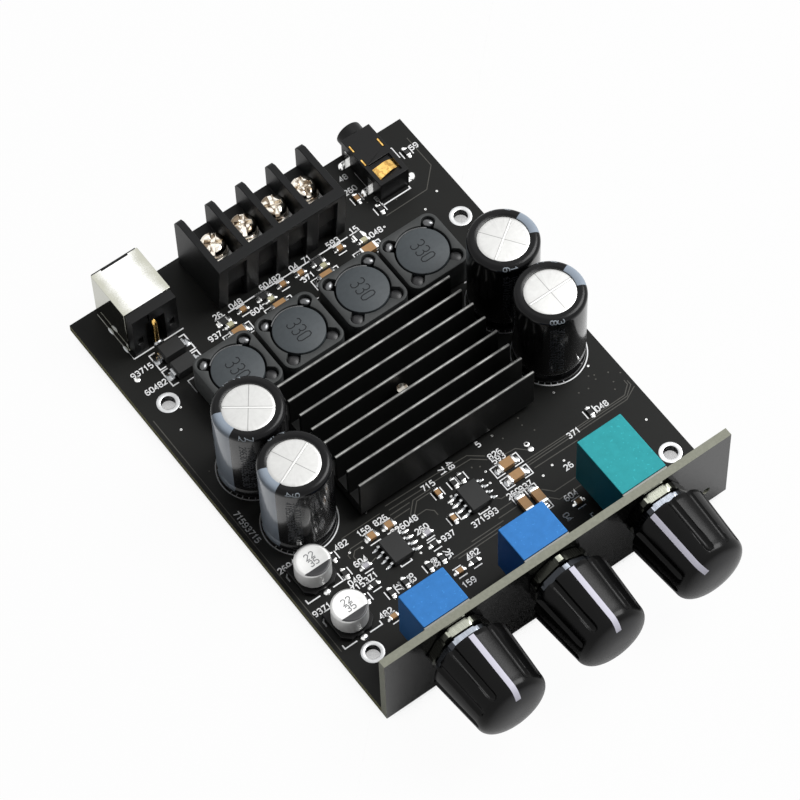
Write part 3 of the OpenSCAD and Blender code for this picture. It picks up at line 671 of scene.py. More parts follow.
@dataclass(frozen=True)
class ChipBodyFinish:
    """Fired ceramic whose colour differs between the rows of parts."""

    name: str
    tan: Colour
    cream: Colour
    lilac: Colour
    back_row: float
    front_row: float
    gap: float = -16.0
    gap_half: float = 4.5
    row_end: float = -9.0

    def build(self) -> bpy.types.Material:
        """Returns the finish as a material."""
        shader = Shader(self.name)
        x, y, _ = shader.split(shader.place())
        across, along = (x - ORIGIN.x) / MM, (y - ORIGIN.y) / MM
        cream = abs(along - self.back_row).below(0.5, 0.05)
        row = abs(along - self.front_row).below(1.1, 0.05)
        lilac = row * abs(across - self.gap).above(self.gap_half, 0.1) * across.below(self.row_end, 0.1)
        cloud = shader.noise(0.5)
        tan = shader.varied(cloud, self.tan, 0.86, 1.12)
        return shader.surface(
            Base_Color=shader.mix(lilac, shader.mix(cream, tan, self.cream), self.lilac),
            Roughness=0.42 + (cloud - 0.5) * 0.2,
            Specular_IOR_Level=0.3,
            Normal=shader.bump(shader.noise(0.1), 0.004),
        )


class Paint:
    """The finishes of the whole board, each built once."""

    def __init__(self) -> None:
        """Builds every material."""
        self.mask = LaminateFinish(
            "board_mask", (0.0095, 0.0097, 0.009), (0.17, 0.165, 0.085), 0.42, 0.12
        ).build()
        self.panel = LaminateFinish(
            "panel_mask", (0.0065, 0.0068, 0.0065), (0.27, 0.275, 0.22), 0.2, 0.42, 0.0004, upright=True
        ).build()
        # The knob's end is painted thirteen times lighter: a painted sheen.
        self.knob = Finish(
            "knob_satin", (0.0035, 0.0035, 0.0036), 0.22, specular=0.13, mottle=0.2, relief=0.002, front=13.0
        ).build()
        self.inlay = Finish("pointer_white", (0.70, 0.69, 0.80), 0.45, specular=0.3, mottle=0.04).build()
        # The pot bodies' upright faces are painted darker: painted shade.
        self.blue = Finish(
            "blue_plastic", (0.055, 0.24, 0.63), 0.5, specular=0.05, mottle=0.14, specks=0.35, side_shade=0.62
        ).build()
        self.teal = Finish(
            "teal_plastic", (0.043, 0.385, 0.42), 0.5, specular=0.05, mottle=0.14, specks=0.35, side_shade=0.55
        ).build()
        self.terminal = Finish(
            "terminal_black", (0.0065, 0.0068, 0.0072), 0.42, specular=0.16, mottle=0.25
        ).build()
        self.black = Finish("moulded_black", (0.0045, 0.0045, 0.0047), 0.36, specular=0.2, mottle=0.2).build()
        self.chip = Finish("chip_compound", (0.019, 0.0194, 0.0194), 0.6, specular=0.3, grain=0.07).build()
        self.ferrite = Finish(
            "shield_ferrite", (0.036, 0.0385, 0.0385), 0.62, specular=0.35, mottle=0.28, grain=0.2, relief=0.012
        ).build()
        self.drum = Finish(
            "drum_ferrite",
            (0.052, 0.061, 0.067),
            0.55,
            specular=0.35,
            mottle=0.2,
            spot_size=0.8,
            grain=0.2,
            relief=0.01,
        ).build()
        self.engraved = Finish("engraved_shadow", (0.012, 0.013, 0.015), 0.7, specular=0.2).build()
        # Dark plugs in the inductors' front corner notches: painted shade.
        self.notch_shade = Finish("painted_notch_shade", (0.012, 0.012, 0.013), 0.4, specular=0.4, mottle=0.3).build()
        # The fins' top edges are painted bright: a painted highlight.
        self.anodised = FinFinish(
            "black_anodised", (0.0085, 0.0088, 0.0085), (0.21, 0.21, 0.203), extent("heatsink")[1].z
        ).build()
        # Brown patches on these screws and washers: painted reflections of warm surroundings.
        self.nickel = BrushedFinish("bright_nickel", (0.86, 0.80, 0.71), 0.1, swell=0.06, patina_and_reflection=0.9).build()
        self.dark_screw = BrushedFinish("dark_screw", (0.42, 0.40, 0.36), 0.16, swell=0.08, patina_and_reflection=0.95).build()
        # The shield's top is painted bright along its middle and dull towards its long edges: a painted glare.
        low, high = extent("dc_shield")
        self.shield = ShieldFinish(
            "shield_nickel", (0.92, 0.92, 0.91), (0.43, 0.43, 0.37), (low.x + high.x) / 2, (high.x - low.x) / 2
        ).build()
        # The nuts' faces that don't look up are painted dark: painted shade.
        self.nut = BrushedFinish("nut_plate", (0.36, 0.39, 0.44), 0.24, relief=0.0, flank_shade=0.12).build()
        self.ivory = BrushedFinish("nut_passivated", (0.36, 0.37, 0.31), 0.26, relief=0.0, flank_shade=0.1).build()
        self.zinc = BrushedFinish("shaft_zinc", (0.70, 0.69, 0.66), 0.36).build()
        self.plate = BrushedFinish("frame_plate", (0.2, 0.2, 0.19), 0.4).build()
        self.tin = Finish("tin", (0.86, 0.86, 0.85), 0.28, 1.0, mottle=0.08).build()
        self.solder = Finish("solder", (0.93, 0.93, 0.92), 0.24, 1.0, mottle=0.06, relief=0.003).build()
        self.grey_solder = Finish(
            "old_solder", (0.40, 0.41, 0.42), 0.26, 1.0, mottle=0.3, spot_size=0.4
        ).build()
        self.wire_end = Finish(
            "wire_solder", (0.12, 0.122, 0.125), 0.28, 1.0, mottle=0.5, spot_size=0.5
        ).build()
        self.gold = BrushedFinish(
            "gold_spring",
            (0.88, 0.56, 0.17),
            0.18,
            swell=0.05,
            patina_and_reflection=0.5,
            patina_and_reflection_size=0.8,
            patina_and_reflection_colour=(0.3, 0.14, 0.03),
        ).build()
        self.plating = Finish("hole_plating", (0.5, 0.505, 0.51), 0.4, 1.0, mottle=0.2).build()
        self.ceramic = ChipBodyFinish(
            "chip_ceramic", (0.41, 0.235, 0.105), (0.52, 0.50, 0.33), (0.47, 0.46, 0.50), 73.35, 21.6
        ).build()
        self.silk = Finish(
            "white_print", (0.93, 0.94, 0.95), 0.6, specular=0.2, mottle=0.1, spot_size=0.6
        ).build()
        self.trace = Finish("covered_copper", (0.064, 0.062, 0.054), 0.5, specular=0.3, mottle=0.2).build()
        self.sleeve_mark = Finish("sleeve_mark", (0.36, 0.40, 0.44), 0.5, specular=0.2).build()
        self.sleeve_text = Finish("sleeve_text", (0.05, 0.054, 0.06), 0.5, specular=0.2).build()
        self.can_ink = Finish("can_print", (0.16, 0.165, 0.17), 0.5, specular=0.3).build()
        self.pad_rubber = Finish("thermal_pad", (0.25, 0.27, 0.29), 0.8).build()


# Meshes


def arc(radius: float, start: float, end: float, steps: int, centre: Point = (0.0, 0.0)) -> list[Point]:
    """Points along an arc.

    Args:
        radius: Its radius.
        start: First angle in degrees.
        end: Last angle in degrees.
        steps: Number of stretches.
        centre: Its centre.

    Returns:
        The points in order.
    """
    angles = [math.radians(start + (end - start) * k / steps) for k in range(steps + 1)]
    return [(centre[0] + radius * math.cos(a), centre[1] + radius * math.sin(a)) for a in angles]


def superdome(radius: float, height: float, power: float, steps: int) -> list[Point]:
    """Points of a rounded end from its rim to its top.

    Args:
        radius: Radius of the rim.
        height: Height of the top above the rim.
        power: Exponent of the curve; 1 is an ellipse, less is fuller.
        steps: Number of stretches.

    Returns:
        Points as radius and height.
    """
    angles = [math.pi / 2 * k / steps for k in range(steps + 1)]
    return [
        (radius * max(0.0, math.cos(a)) ** power, height * max(0.0, math.sin(a)) ** power) for a in angles
    ]


class Form:
    """Vertices and faces of one piece, in millimetres of the piece's own frame."""

    def __init__(self) -> None:
        """Starts an empty form."""
        self.verts: list[Vector] = []
        self.faces: list[list[int]] = []

    def ring(self, points: Iterable[Vector], place: Matrix) -> list[int]:
        """Adds points.

        Args:
            points: The points in a local frame.
            place: The local frame's matrix.

        Returns:
            Their numbers.
        """
        start = len(self.verts)
        self.verts += [place @ p for p in points]
        return list(range(start, len(self.verts)))

    def skin(self, rings: Sequence[Sequence[int]], closed: bool = True) -> None:
        """Joins neighbouring rings of equal length by faces.

        Args:
            rings: Vertex numbers of each ring.
            closed: Whether each ring's end joins its start.
        """
        for low, high in zip(rings, rings[1:]):
            count = len(low)
            for i in range(count if closed else count - 1):
                j = (i + 1) % count
                corners = [low[i], low[j], high[j], high[i]]
                face = [v for k, v in enumerate(corners) if v not in corners[:k]]
                if len(face) > 2:
                    self.faces.append(face)

    def lathe(
        self,
        profile: Sequence[Point],
        steps: int,
        place: Matrix = Matrix(),
        shape: Callable[[float, float, float], float] | None = None,
    ) -> None:
        """Turns a profile about the local Z axis.

        Args:
            profile: Points as radius and height.
            steps: Number of stretches around the axis.
            place: The local frame's matrix.
            shape: Changes a radius by the angle, the radius and the height.
        """
        rings = []
        for radius, height in profile:
            if radius < 1e-6:
                rings.append(self.ring([Vector((0, 0, height))], place) * steps)
                continue
            points = []
            for k in range(steps):
                a = math.tau * k / steps
                r = shape(a, radius, height) if shape else radius
                points.append(Vector((r * math.cos(a), r * math.sin(a), height)))
            rings.append(self.ring(points, place))
        self.skin(rings)

    def stack(
        self, outlines: Sequence[Sequence[Point]], heights: Sequence[float], place: Matrix = Matrix()
    ) -> None:
        """Stacks flat outlines into a closed solid.

        Args:
            outlines: Outlines with equally many points.
            heights: Height of each outline.
            place: The local frame's matrix.
        """
        rings = [
            self.ring([Vector((x, y, z)) for x, y in outline], place) for outline, z in zip(outlines, heights)
        ]
        self.skin(rings)
        self.faces.append(list(reversed(rings[0])))
        self.faces.append(list(rings[-1]))

    def ribbon(
        self, path: Sequence[Point], width: float, low: float, high: float, closed: bool = False
    ) -> None:
        """Lays a flat strip along a path.

        Args:
            path: Points of its middle line.
            width: Its width.
            low: Height of its underside.
            high: Height of its top.
            closed: Whether its end joins its start.
        """
        points = [Vector(p) for p in path]
        count = len(points)
        left: list[Vector] = []
        right: list[Vector] = []
        for i, p in enumerate(points):
            before = points[i - 1] if i > 0 or closed else None
            after = points[(i + 1) % count] if i < count - 1 or closed else None
            first = (p - before).normalized() if before is not None else (after - p).normalized()
            second = (after - p).normalized() if after is not None else first
            across = Vector((-(first.y + second.y), first.x + second.x))
            across = across.normalized() if across.length > 1e-6 else Vector((-first.y, first.x))
            reach = width / 2 / max(0.4, across.dot(Vector((-first.y, first.x))))
            left.append(p + across * reach)
            right.append(p - across * reach)
        flat = Matrix()
        rings = [
            self.ring([Vector((*p, z)) for p in side], flat)
            for side, z in ((left, low), (left, high), (right, high), (right, low))
        ]
        self.skin([list(line) for line in zip(*rings)] + ([[r[0] for r in rings]] if closed else []))
        if not closed:
            self.faces.append([r[0] for r in rings])
            self.faces.append([r[-1] for r in reversed(rings)])

    def lens(self, centre: Vector, half: Point, height: float, turn: float = 0.0, steps: int = 16) -> None:
        """Adds a drop of solder.

        Args:
            centre: Middle of its base.
            half: Its half length and half width.
            height: Its height.
            turn: Angle of its length in degrees.
            steps: Number of stretches around it.
        """
        place = Matrix.Translation(centre) @ Matrix.Rotation(math.radians(turn), 4, "Z")
        place = place @ Matrix.Diagonal((half[0], half[1], height, 1.0))
        self.lathe([(1.0, -0.15), *superdome(1.0, 1.0, 0.9, 5)], steps, place)

    def piece(
        self,
        name: str,
        material: bpy.types.Material,
        slot: str,
        body: str = "board",
        centre: Vector | None = None,
        sharp: float = 38.0,
    ) -> bpy.types.Object:
        """Turns the form into a piece of the scene.

        Args:
            name: The piece's name.
            material: Its material.
            slot: The record's material slot; not used.
            body: The CAD body it rides on.
            centre: Its own origin in the part's frame; the board's origin if left out.
            sharp: Angle in degrees above which an edge stays sharp.

        Returns:
            The new object.
        """
        mesh = bpy.data.meshes.new(name)
        mesh.from_pydata([v * MM for v in self.verts], [], self.faces)
        mesh.materials.append(material)
        mesh.shade_smooth()
        mesh.set_sharp_from_angle(angle=math.radians(sharp))
        obj = bpy.data.objects.new(name, mesh)
        obj.location = ORIGIN if centre is None else centre
        bpy.context.scene.collection.objects.link(obj)
        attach(obj, body)
        LOG.info("%s: %d faces on %s", name, len(mesh.polygons), body)
        return obj


def dress(node: str, material: bpy.types.Material, soften: float = 0.0) -> None:
    """Gives a CAD node its finish and rounds its edges for the picture.

    Args:
        node: Name of the CAD node.
        material: Its material.
        soften: Width of the rounding in millimetres, or 0 for none.
    """
    obj = frame["nodes"][node]
    obj.data.materials.clear()
    obj.data.materials.append(material)
    if soften:
        merge = obj.modifiers.new("merge", "WELD")
        merge.merge_threshold = 0.002 * MM
        flat = obj.modifiers.new("flat", "DECIMATE")
        flat.decimate_type = "DISSOLVE"
        flat.angle_limit = math.radians(1.0)
        edge = obj.modifiers.new("edge", "BEVEL")
        edge.width = soften * MM
        edge.segments = 2
        edge.limit_method = "ANGLE"
        edge.angle_limit = math.radians(40.0)
        obj.modifiers.new("shade", "WEIGHTED_NORMAL").keep_sharp = False
    LOG.info("%s dressed in %s", node, material.name)


# Sub-assemblies


@dataclass
class Knob:
    """A fluted, domed knob with a white pointer set into it."""

    name: str
    turned: float
    paint: Paint
    flutes: int = 12
    flute_half: float = 0.72
    flute_depth: float = 0.5
    flute_end: float = 10.3
    dome: float = 3.1
    base_radius: float = 7.35
    end_radius: float = 6.65
    cavity: float = 5.8
    boss: float = 4.5
    bore: float = 3.03
    bore_end: float = 8.6
    boss_base: float = 0.8
    cavity_end: float = 6.0
    pointer_half: float = 0.5
    pointer_inner: float = 4.4
    steps: int = 480

    def seat(self) -> tuple[Matrix, float]:
        """Returns the knob's frame, its +Z pointing out of the panel, and the knob's length."""
        low, high = extent(f"{self.name}_knob")
        axis = middle(f"{self.name}_body").x
        shaft = middle(f"{self.name}_shaft").z
        base = Matrix.Translation(Vector((axis, high.y, shaft))) @ Matrix.Rotation(math.radians(90), 4, "X")
        return base @ Matrix.Rotation(math.radians(-self.turned), 4, "Z"), high.y - low.y

    def side(self, length: float) -> list[Point]:
        """Outline of side and dome.

        Args:
            length: The knob's length.

        Returns:
            Points as radius and height.
        """
        start = length - self.dome
        rise = [k / 14 for k in range(14)]
        straight = [
            (self.base_radius + (self.end_radius - self.base_radius) * t, 0.3 + (start - 0.3) * t) for t in rise
        ]
        return straight + [(r, start + z) for r, z in superdome(self.end_radius, self.dome, 0.78, 34)]

    def groove(self, angle: float, radius: float, height: float) -> float:
        """Radius of the fluted side.

        Args:
            angle: Angle around the axis.
            radius: Radius without flutes.
            height: Height above the base.

        Returns:
            The radius with the flutes cut in.
        """
        if radius < self.cavity + 0.3:
            return radius
        step = math.tau / self.flutes
        turn = (angle - math.pi / 2) / step
        index = round(turn)
        if index % self.flutes == 0:
            return radius
        off = radius * math.sin((turn - index) * step)
        past = max(0.0, height - self.flute_end)
        near = math.hypot(off, past) / self.flute_half
        if near >= 1.0:
            return radius
        return radius - self.flute_depth * (1.0 - near * near) ** 0.65

    def build(self) -> None:
        """Builds the knob and its pointer."""
        place, length = self.seat()
        outline = self.side(length)
        inner = [(0.0, self.bore_end), (self.bore, self.bore_end), (self.bore, self.boss_base)]
        inner += [(self.boss, self.boss_base), (self.boss, self.cavity_end), (self.cavity, self.cavity_end)]
        rim = [(self.cavity, 0.0), (self.base_radius - 0.3, 0.0), (self.base_radius - 0.08, 0.08)]
        form = Form()
        form.lathe(inner + rim + outline, self.steps, place, self.groove)
        body = f"{self.name}_control"
        cap = form.piece(f"{self.name}_knob_cap", self.paint.knob, "knob_plastic", body)
        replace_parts(cap, f"{self.name}_knob")
        line = [(r, z) for r, z in outline if r > self.pointer_inner]
        strip = Form()
        rings = []
        for r, z in line:
            points = []
            face = math.sqrt(r * r - self.pointer_half**2)
            for across, sunk in ((-1.0, 0.3), (-1.0, -0.02), (0.0, -0.05), (1.0, -0.02), (1.0, 0.3)):
                points.append(Vector((across * self.pointer_half, face - sunk, z - 0.3 * sunk)))
            rings.append(strip.ring(points, place))
        strip.skin(rings, closed=False)
        strip.faces += [list(reversed(rings[0])), list(rings[-1])]
        pointer = strip.piece(f"{self.name}_pointer_inlay", self.paint.inlay, "white_inlay", body)
        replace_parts(pointer, f"{self.name}_pointer")


@dataclass
class Controls:
    """The three panel controls with their nuts, frames and knobs."""

    paint: Paint
    nut_height: float = 1.9
    nut_bore: float = 3.55
    nut_face: float = 0.15
    nut_corner: float = 0.55
    nut_chamfer: float = 0.42
    nut_steps: int = 144
    rest: dict[str, float] = field(default_factory=lambda: {"bass": 0.0, "treble": 0.0, "volume": -29.0})
    nut_turn: dict[str, float] = field(default_factory=lambda: {"bass": 0.0, "treble": 30.0, "volume": 0.0})

    def hexagon(self, half: float, angle: float, radius: float) -> float:
        """Radius of a nut's outline where it is cut by the chamfer cone.

        Args:
            half: Half the width across the flats.
            angle: Angle around the axis.
            radius: Radius of the cone at that height.

        Returns:
            The smaller of the cone's and the hexagon's radius.
        """
        off = (angle + math.pi / 6) % (math.pi / 3) - math.pi / 6
        return min(radius, half / math.cos(off))

    def nuts(self) -> None:
        """Builds the six panel nuts."""
        low, high = extent("panel_nuts")
        half, t = (high.z - low.z) / 2, self.nut_height
        cut, rim, slope = half - self.nut_face, half + self.nut_corner, self.nut_chamfer
        profile = [(self.nut_bore, 0.0), (cut, 0.0), (cut + 0.4, 0.16), (rim, slope), (rim, t - slope)]
        profile += [(cut + 0.4, t - 0.16), (cut, t), (self.nut_bore + 0.3, t), (self.nut_bore, t - 0.3)]
        upright = Matrix.Rotation(math.radians(90), 4, "X")
        for label, start, finish in (("inner", high.y, self.paint.ivory), ("outer", low.y + t, self.paint.nut)):
            form = Form()
            for name, turned in self.nut_turn.items():
                axis = Vector((middle(f"{name}_body").x, start, middle(f"{name}_shaft").z))
                place = Matrix.Translation(axis) @ upright @ Matrix.Rotation(math.radians(30 + turned), 4, "Z")
                form.lathe(profile + profile[:1], self.nut_steps, place, lambda a, r, _: self.hexagon(half, a, r))
            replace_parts(form.piece(f"hex_nuts_{label}", finish, "nut_metal", sharp=24.0), "panel_nuts")

    def build(self) -> None:
        """Builds nuts and knobs and dresses the bodies, frames, shafts and pins."""
        self.nuts()
        for name, turned in self.rest.items():
            Knob(name, turned, self.paint).build()
            dress(f"{name}_body", self.paint.teal if name == "volume" else self.paint.blue, 0.22)
            dress(f"{name}_frame", self.paint.plate, 0.08)
            dress(f"{name}_shaft", self.paint.zinc)
        dress("pot_pins", self.paint.tin)


@dataclass
class Reservoir:
    """The four large capacitors: sleeve, bare can top and leads."""

    paint: Paint
    wall: float = 0.2
    lip: float = 4.5
    shoulder: float = 1.0
    groove: float = 0.35
    bead_at: float = 2.1
    bead_half: float = 0.8
    top_colour: Colour = (0.52, 0.52, 0.51)
    film: Colour = (0.004, 0.004, 0.0045)
    band: Colour = (0.30, 0.35, 0.415)
    mark_size: float = 1.15
    mark_down: float = 1.6
    text_size: float = 1.05
    text_down: float = 10.6
    text_count: int = 15
    mark_stroke: float = 0.16
    text_stroke: float = 0.17
    ink_low: float = -0.03
    ink_high: float = 0.012
    ink_step: float = 0.2
    columns: dict[float, Point] = field(default_factory=lambda: {-1: (-135.0, -123.0), 1: (-122.0, -110.0)})
    marks: dict[float, Point] = field(default_factory=lambda: {-1: (74.0, 94.0), 1: (46.0, 69.0)})

    def wrap(self, flat: Vector, angle: float, r: float, h: float) -> Vector:
        """Lays a point of flat print onto the sleeve's shoulder and side.

        Args:
            flat: Distance down from the lip, distance around, and height above the film.
            angle: Angle of the print's middle line in radians.
            r: The sleeve's radius.
            h: The sleeve's height.

        Returns:
            The point in the capacitor's own frame.
        """
        level = r - self.shoulder - self.lip
        turn = min(max(flat.x - level, 0.0) / self.shoulder, math.pi / 2)
        reach = self.lip + min(flat.x, level) + (self.shoulder + flat.z) * math.sin(turn)
        drop = max(0.0, flat.x - level - self.shoulder * math.pi / 2)
        height = h - self.shoulder + (self.shoulder + flat.z) * math.cos(turn) - drop
        angle += flat.y / r
        return Vector((reach * math.cos(angle), reach * math.sin(angle), height))

    def printing(self, index: int, side: float, r: float, h: float, centre: Vector) -> None:
        """Prints plain numbers over the shoulder and in columns down the side.

        Args:
            index: Number of the sleeve node.
            side: Direction of the pale band along x, 1 or -1.
            r: The sleeve's radius.
            h: The sleeve's height.
            centre: The capacitor's place in the part's frame.
        """
        mark = ("mark", self.paint.sleeve_mark, 1, self.mark_down, self.mark_size, self.mark_stroke)
        rows = (self.text_count, self.text_down, self.text_size, self.text_stroke)
        for label, finish, count, down, size, stroke in (mark, ("text", self.paint.sleeve_text, *rows)):
            places = self.columns[side] + (self.marks[side] if label == "mark" else ())
            ink = Form()
            for column, angle in enumerate(places):
                flat = Form()
                words = "".join(str((k * 7 + index * 2 + column * 5) % 10) for k in range(count))
                letters = Lettering(flat, self.ink_low, self.ink_high, stroke, self.ink_step)
                letters.write(words, (down, 0.0), size, Turn.ACROSS)
                start = len(ink.verts)
                ink.verts += [self.wrap(v, math.radians(angle), r, h) for v in flat.verts]
                ink.faces += [[start + n for n in face] for face in flat.faces]
            ink.piece(f"capacitor_{index}_{label}", finish, "sleeve_plastic", centre=centre)

    def sleeve(self, index: int, side: float, vent: Vent) -> None:
        """Builds one capacitor.

        Args:
            index: Number of the sleeve node.
            side: Direction of the pale band along x, 1 or -1.
            vent: Angle of the scored cross.
        """
        low, high = extent(f"sleeve_{index}")
        r, h, foot = (high.x - low.x) / 2, high.z, low.z
        centre = spot((low.x + high.x) / 2, (low.y + high.y) / 2)
        at, reach = self.bead_at, self.bead_half
        bead = [(r, at - reach), (r - 0.08, at - 0.5), (r - self.groove, at)]
        bead += [(r - 0.08, at + 0.5), (r, at + reach)]
        curve = arc(self.shoulder, 0, 90, 8, (r - self.shoulder, h - self.shoulder))
        inward = [(self.lip + 0.1, h), (self.lip, h - 0.06), (self.lip, h - self.wall)]
        outline = [(r - 0.25, foot), (r, foot + 0.12), *bead, *curve, *inward]
        form = Form()
        form.lathe(outline, 128)
        finish = SleeveFinish(f"sleeve_film_{index}", self.film, self.band, side)
        film = form.piece(f"capacitor_{index}_film", finish.build(), "sleeve_plastic", centre=centre)
        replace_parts(film, f"sleeve_{index}")
        self.printing(index, side, r, h, centre)
        top = Form()
        dish = h - self.wall
        top.lathe([(r - 0.3, foot), (0.0, foot)], 64)
        rim = [(self.lip + 0.05, dish - 0.1), (self.lip - 0.25, dish - 0.02), (self.lip - 0.6, dish)]
        top.lathe([*rim, (0.0, dish)], 96)
        disc = top.piece(
            f"capacitor_{index}_top",
            VentFinish(f"vent_top_{index}", self.top_colour, vent).build(),
            "can_aluminium",
            centre=centre,
        )
        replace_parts(disc, "capacitor_cans")

    def build(self) -> None:
        """Builds the four capacitors and dresses their leads."""
        turns = (Vent.BACKWARD, Vent.SLANTED, Vent.STEEP, Vent.SQUARE)
        for index, (side, vent) in enumerate(zip((-1, -1, 1, 1), turns), 1):
            self.sleeve(index, side, vent)
        dress("capacitor_leads", self.paint.tin)


@dataclass
class Inductors:
    """The four shielded inductors: shield, drum, engraved number and soldered wire ends."""

    paint: Paint
    corner: float = 2.0
    edge: float = 0.3
    opening: float = 4.9
    notch_at: float = 5.7
    notch: float = 1.25
    floor: float = 0.8
    drum: float = 4.6
    drum_waist: float = 0.4
    flange: float = 1.1
    post: float = 0.6
    plug: float = 1.12
    steps: int = 192
    number: str = "330"
    number_size: float = 2.6
    number_stroke: float = 0.2
    number_slim: float = 0.66

    def outer(self, half: float, angle: float) -> float:
        """Radius of the rounded square.

        Args:
            half: Half the square's side.
            angle: Direction from its centre.

        Returns:
            The distance of its outline.
        """
        c, s = abs(math.cos(angle)), abs(math.sin(angle))
        flat = half / max(c, s)
        k = half - self.corner
        if min(c, s) * flat <= k:
            return flat
        along = k * (c + s)
        return along + math.sqrt(max(0.0, along * along - 2 * k * k + self.corner**2))

    def inner(self, angle: float) -> float:
        """Radius of the opening with its four corner notches.

        Args:
            angle: Direction from its centre.

        Returns:
            The distance of its edge.
        """
        off = abs((angle % (math.pi / 2)) - math.pi / 4)
        across = self.notch_at * math.sin(off)
        if across >= self.notch:
            return self.opening
        return max(self.opening, self.notch_at * math.cos(off) + math.sqrt(self.notch**2 - across**2))

    def shield(self, index: int) -> Vector:
        """Builds one shield.

        Args:
            index: Number of the inductor.

        Returns:
            The place of its centre in the part's frame.
        """
        low, high = extent(f"inductor_{index}")
        half, top = (high.x - low.x) / 2, high.z
        centre = spot((low.x + high.x) / 2, (low.y + high.y) / 2)
        rows: list[tuple[Callable[[float], float], float]] = [
            (lambda a: 0.0, self.floor),
            (lambda a: self.inner(a), self.floor),
            (lambda a: self.inner(a), top - 0.22),
            (lambda a: self.inner(a) + 0.07, top - 0.06),
            (lambda a: self.inner(a) + 0.22, top),
            (lambda a: self.outer(half, a) - self.edge, top),
            (lambda a: self.outer(half, a) - 0.09, top - 0.09),
            (lambda a: self.outer(half, a), top - self.edge),
            (lambda a: self.outer(half, a), 0.15),
            (lambda a: self.outer(half, a) - 0.15, 0.0),
            (lambda a: 0.0, 0.0),
        ]
        form, steps = Form(), self.steps
        rings = []
        for radius, z in rows:
            angles = [math.tau * k / steps for k in range(steps)]
            points = [Vector((radius(a) * math.cos(a), radius(a) * math.sin(a), z)) for a in angles]
            tip = radius(0.0) == 0.0
            rings.append(form.ring(points[:1], Matrix()) * steps if tip else form.ring(points, Matrix()))
        form.skin(rings)
        shell = form.piece(f"inductor_{index}_shield", self.paint.ferrite, "shield_ferrite", centre=centre)
        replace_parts(shell, f"inductor_{index}")
        return centre

    def core(self, index: int, centre: Vector) -> None:
        """Builds a drum with its engraved number and wire ends.

        Args:
            index: Number of the inductor.
            centre: The inductor's centre in the part's frame.
        """
        top = extent(f"inductor_{index}")[1].z - 0.1
        form = Form()
        r = self.drum
        inset, under = r - self.drum_waist, top - self.flange
        waist = [(inset, self.floor), (inset, under), (r, under)]
        form.lathe([*waist, (r, top - 0.2), (r - 0.06, top - 0.07), (r - 0.2, top), (0.0, top)], 128)
        drum = form.piece(f"inductor_{index}_drum", self.paint.drum, "drum_ferrite", centre=centre)
        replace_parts(drum, "inductor_drums")
        # The number is a dark sheet on the drum's top: painted shadow of the engraved digits.
        marks = Form()
        letters = Lettering(marks, top - 0.05, top + 0.01, self.number_stroke, slim=self.number_slim)
        letters.write(self.number, (0.0, 0.0), self.number_size, Turn.TOWARDS)
        marks.piece(f"inductor_{index}_number", self.paint.engraved, "drum_ferrite", centre=centre)
        ends = Form()
        reach = self.notch_at / math.sqrt(2) + 0.12
        for side in (-1, 1):
            ends.lens(Vector((side * reach, reach, top - 0.7)), (1.2, 0.85), 0.8, side * -45.0, 24)
            post = Matrix.Translation(Vector((side * reach, reach, 0)))
            ends.lathe([(self.post, self.floor), (self.post, top - 0.6)], 16, post)
        ends.ribbon(arc(self.drum + 0.16, 46, 134, 24), 0.2, top - 0.6, top - 0.22)
        joint = ends.piece(f"inductor_{index}_ends", self.paint.wire_end, "tin", centre=centre)
        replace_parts(joint, "inductor_posts")
        # Dark plugs fill the front corner notches almost to the top: painted shade in the notches.
        plugs = Form()
        for side in (-1, 1):
            place = Matrix.Translation(Vector((side * (reach - 0.1), 0.1 - reach, 0)))
            plug = [(self.plug, self.floor), (self.plug, top - 0.75), (0.8, top - 0.55), (0.0, top - 0.5)]
            plugs.lathe(plug, 24, place)
        plugs.piece(f"inductor_{index}_plugs", self.paint.notch_shade, "drum_ferrite", centre=centre)

    def build(self) -> None:
        """Builds the four inductors."""
        for index in range(1, 5):
            self.core(index, self.shield(index))


STROKES: dict[str, list[list[Point]]] = {
    "0": [
        [(0.15, 0), (0.45, 0), (0.6, 0.18), (0.6, 0.82), (0.45, 1), (0.15, 1)]
        + [(0, 0.82), (0, 0.18), (0.15, 0)]
    ],
    "1": [[(0.1, 0.78), (0.32, 1), (0.32, 0)]],
    "2": [[(0, 0.8), (0.15, 1), (0.45, 1), (0.6, 0.82), (0.6, 0.62), (0, 0), (0.6, 0)]],
    "3": [
        [(0, 0.88), (0.15, 1), (0.45, 1), (0.6, 0.86), (0.6, 0.66), (0.45, 0.53), (0.22, 0.53)],
        [(0.45, 0.53), (0.6, 0.38), (0.6, 0.15), (0.45, 0), (0.15, 0), (0, 0.12)],
    ],
    "4": [[(0.46, 0), (0.46, 1), (0, 0.3), (0.62, 0.3)]],
    "5": [
        [(0.56, 1), (0.05, 1), (0, 0.55), (0.42, 0.6), (0.6, 0.44), (0.6, 0.16)]
        + [(0.44, 0), (0.14, 0), (0, 0.1)]
    ],
    "6": [
        [(0.55, 0.95), (0.2, 1), (0, 0.7), (0, 0.16), (0.15, 0), (0.45, 0), (0.6, 0.16)]
        + [(0.6, 0.42), (0.45, 0.56), (0, 0.5)]
    ],
    "7": [[(0, 1), (0.6, 1), (0.2, 0)]],
    "8": [
        [(0.15, 0.53), (0, 0.68), (0, 0.86), (0.15, 1), (0.45, 1), (0.6, 0.86)]
        + [(0.6, 0.68), (0.45, 0.53), (0.15, 0.53)],
        [(0.15, 0.53), (0, 0.38), (0, 0.14), (0.15, 0), (0.45, 0), (0.6, 0.14), (0.6, 0.38), (0.45, 0.53)],
    ],
    "9": [
        [(0.05, 0.05), (0.4, 0), (0.6, 0.3), (0.6, 0.84), (0.45, 1), (0.15, 1), (0, 0.84)]
        + [(0, 0.58), (0.15, 0.44), (0.6, 0.5)]
    ],
}


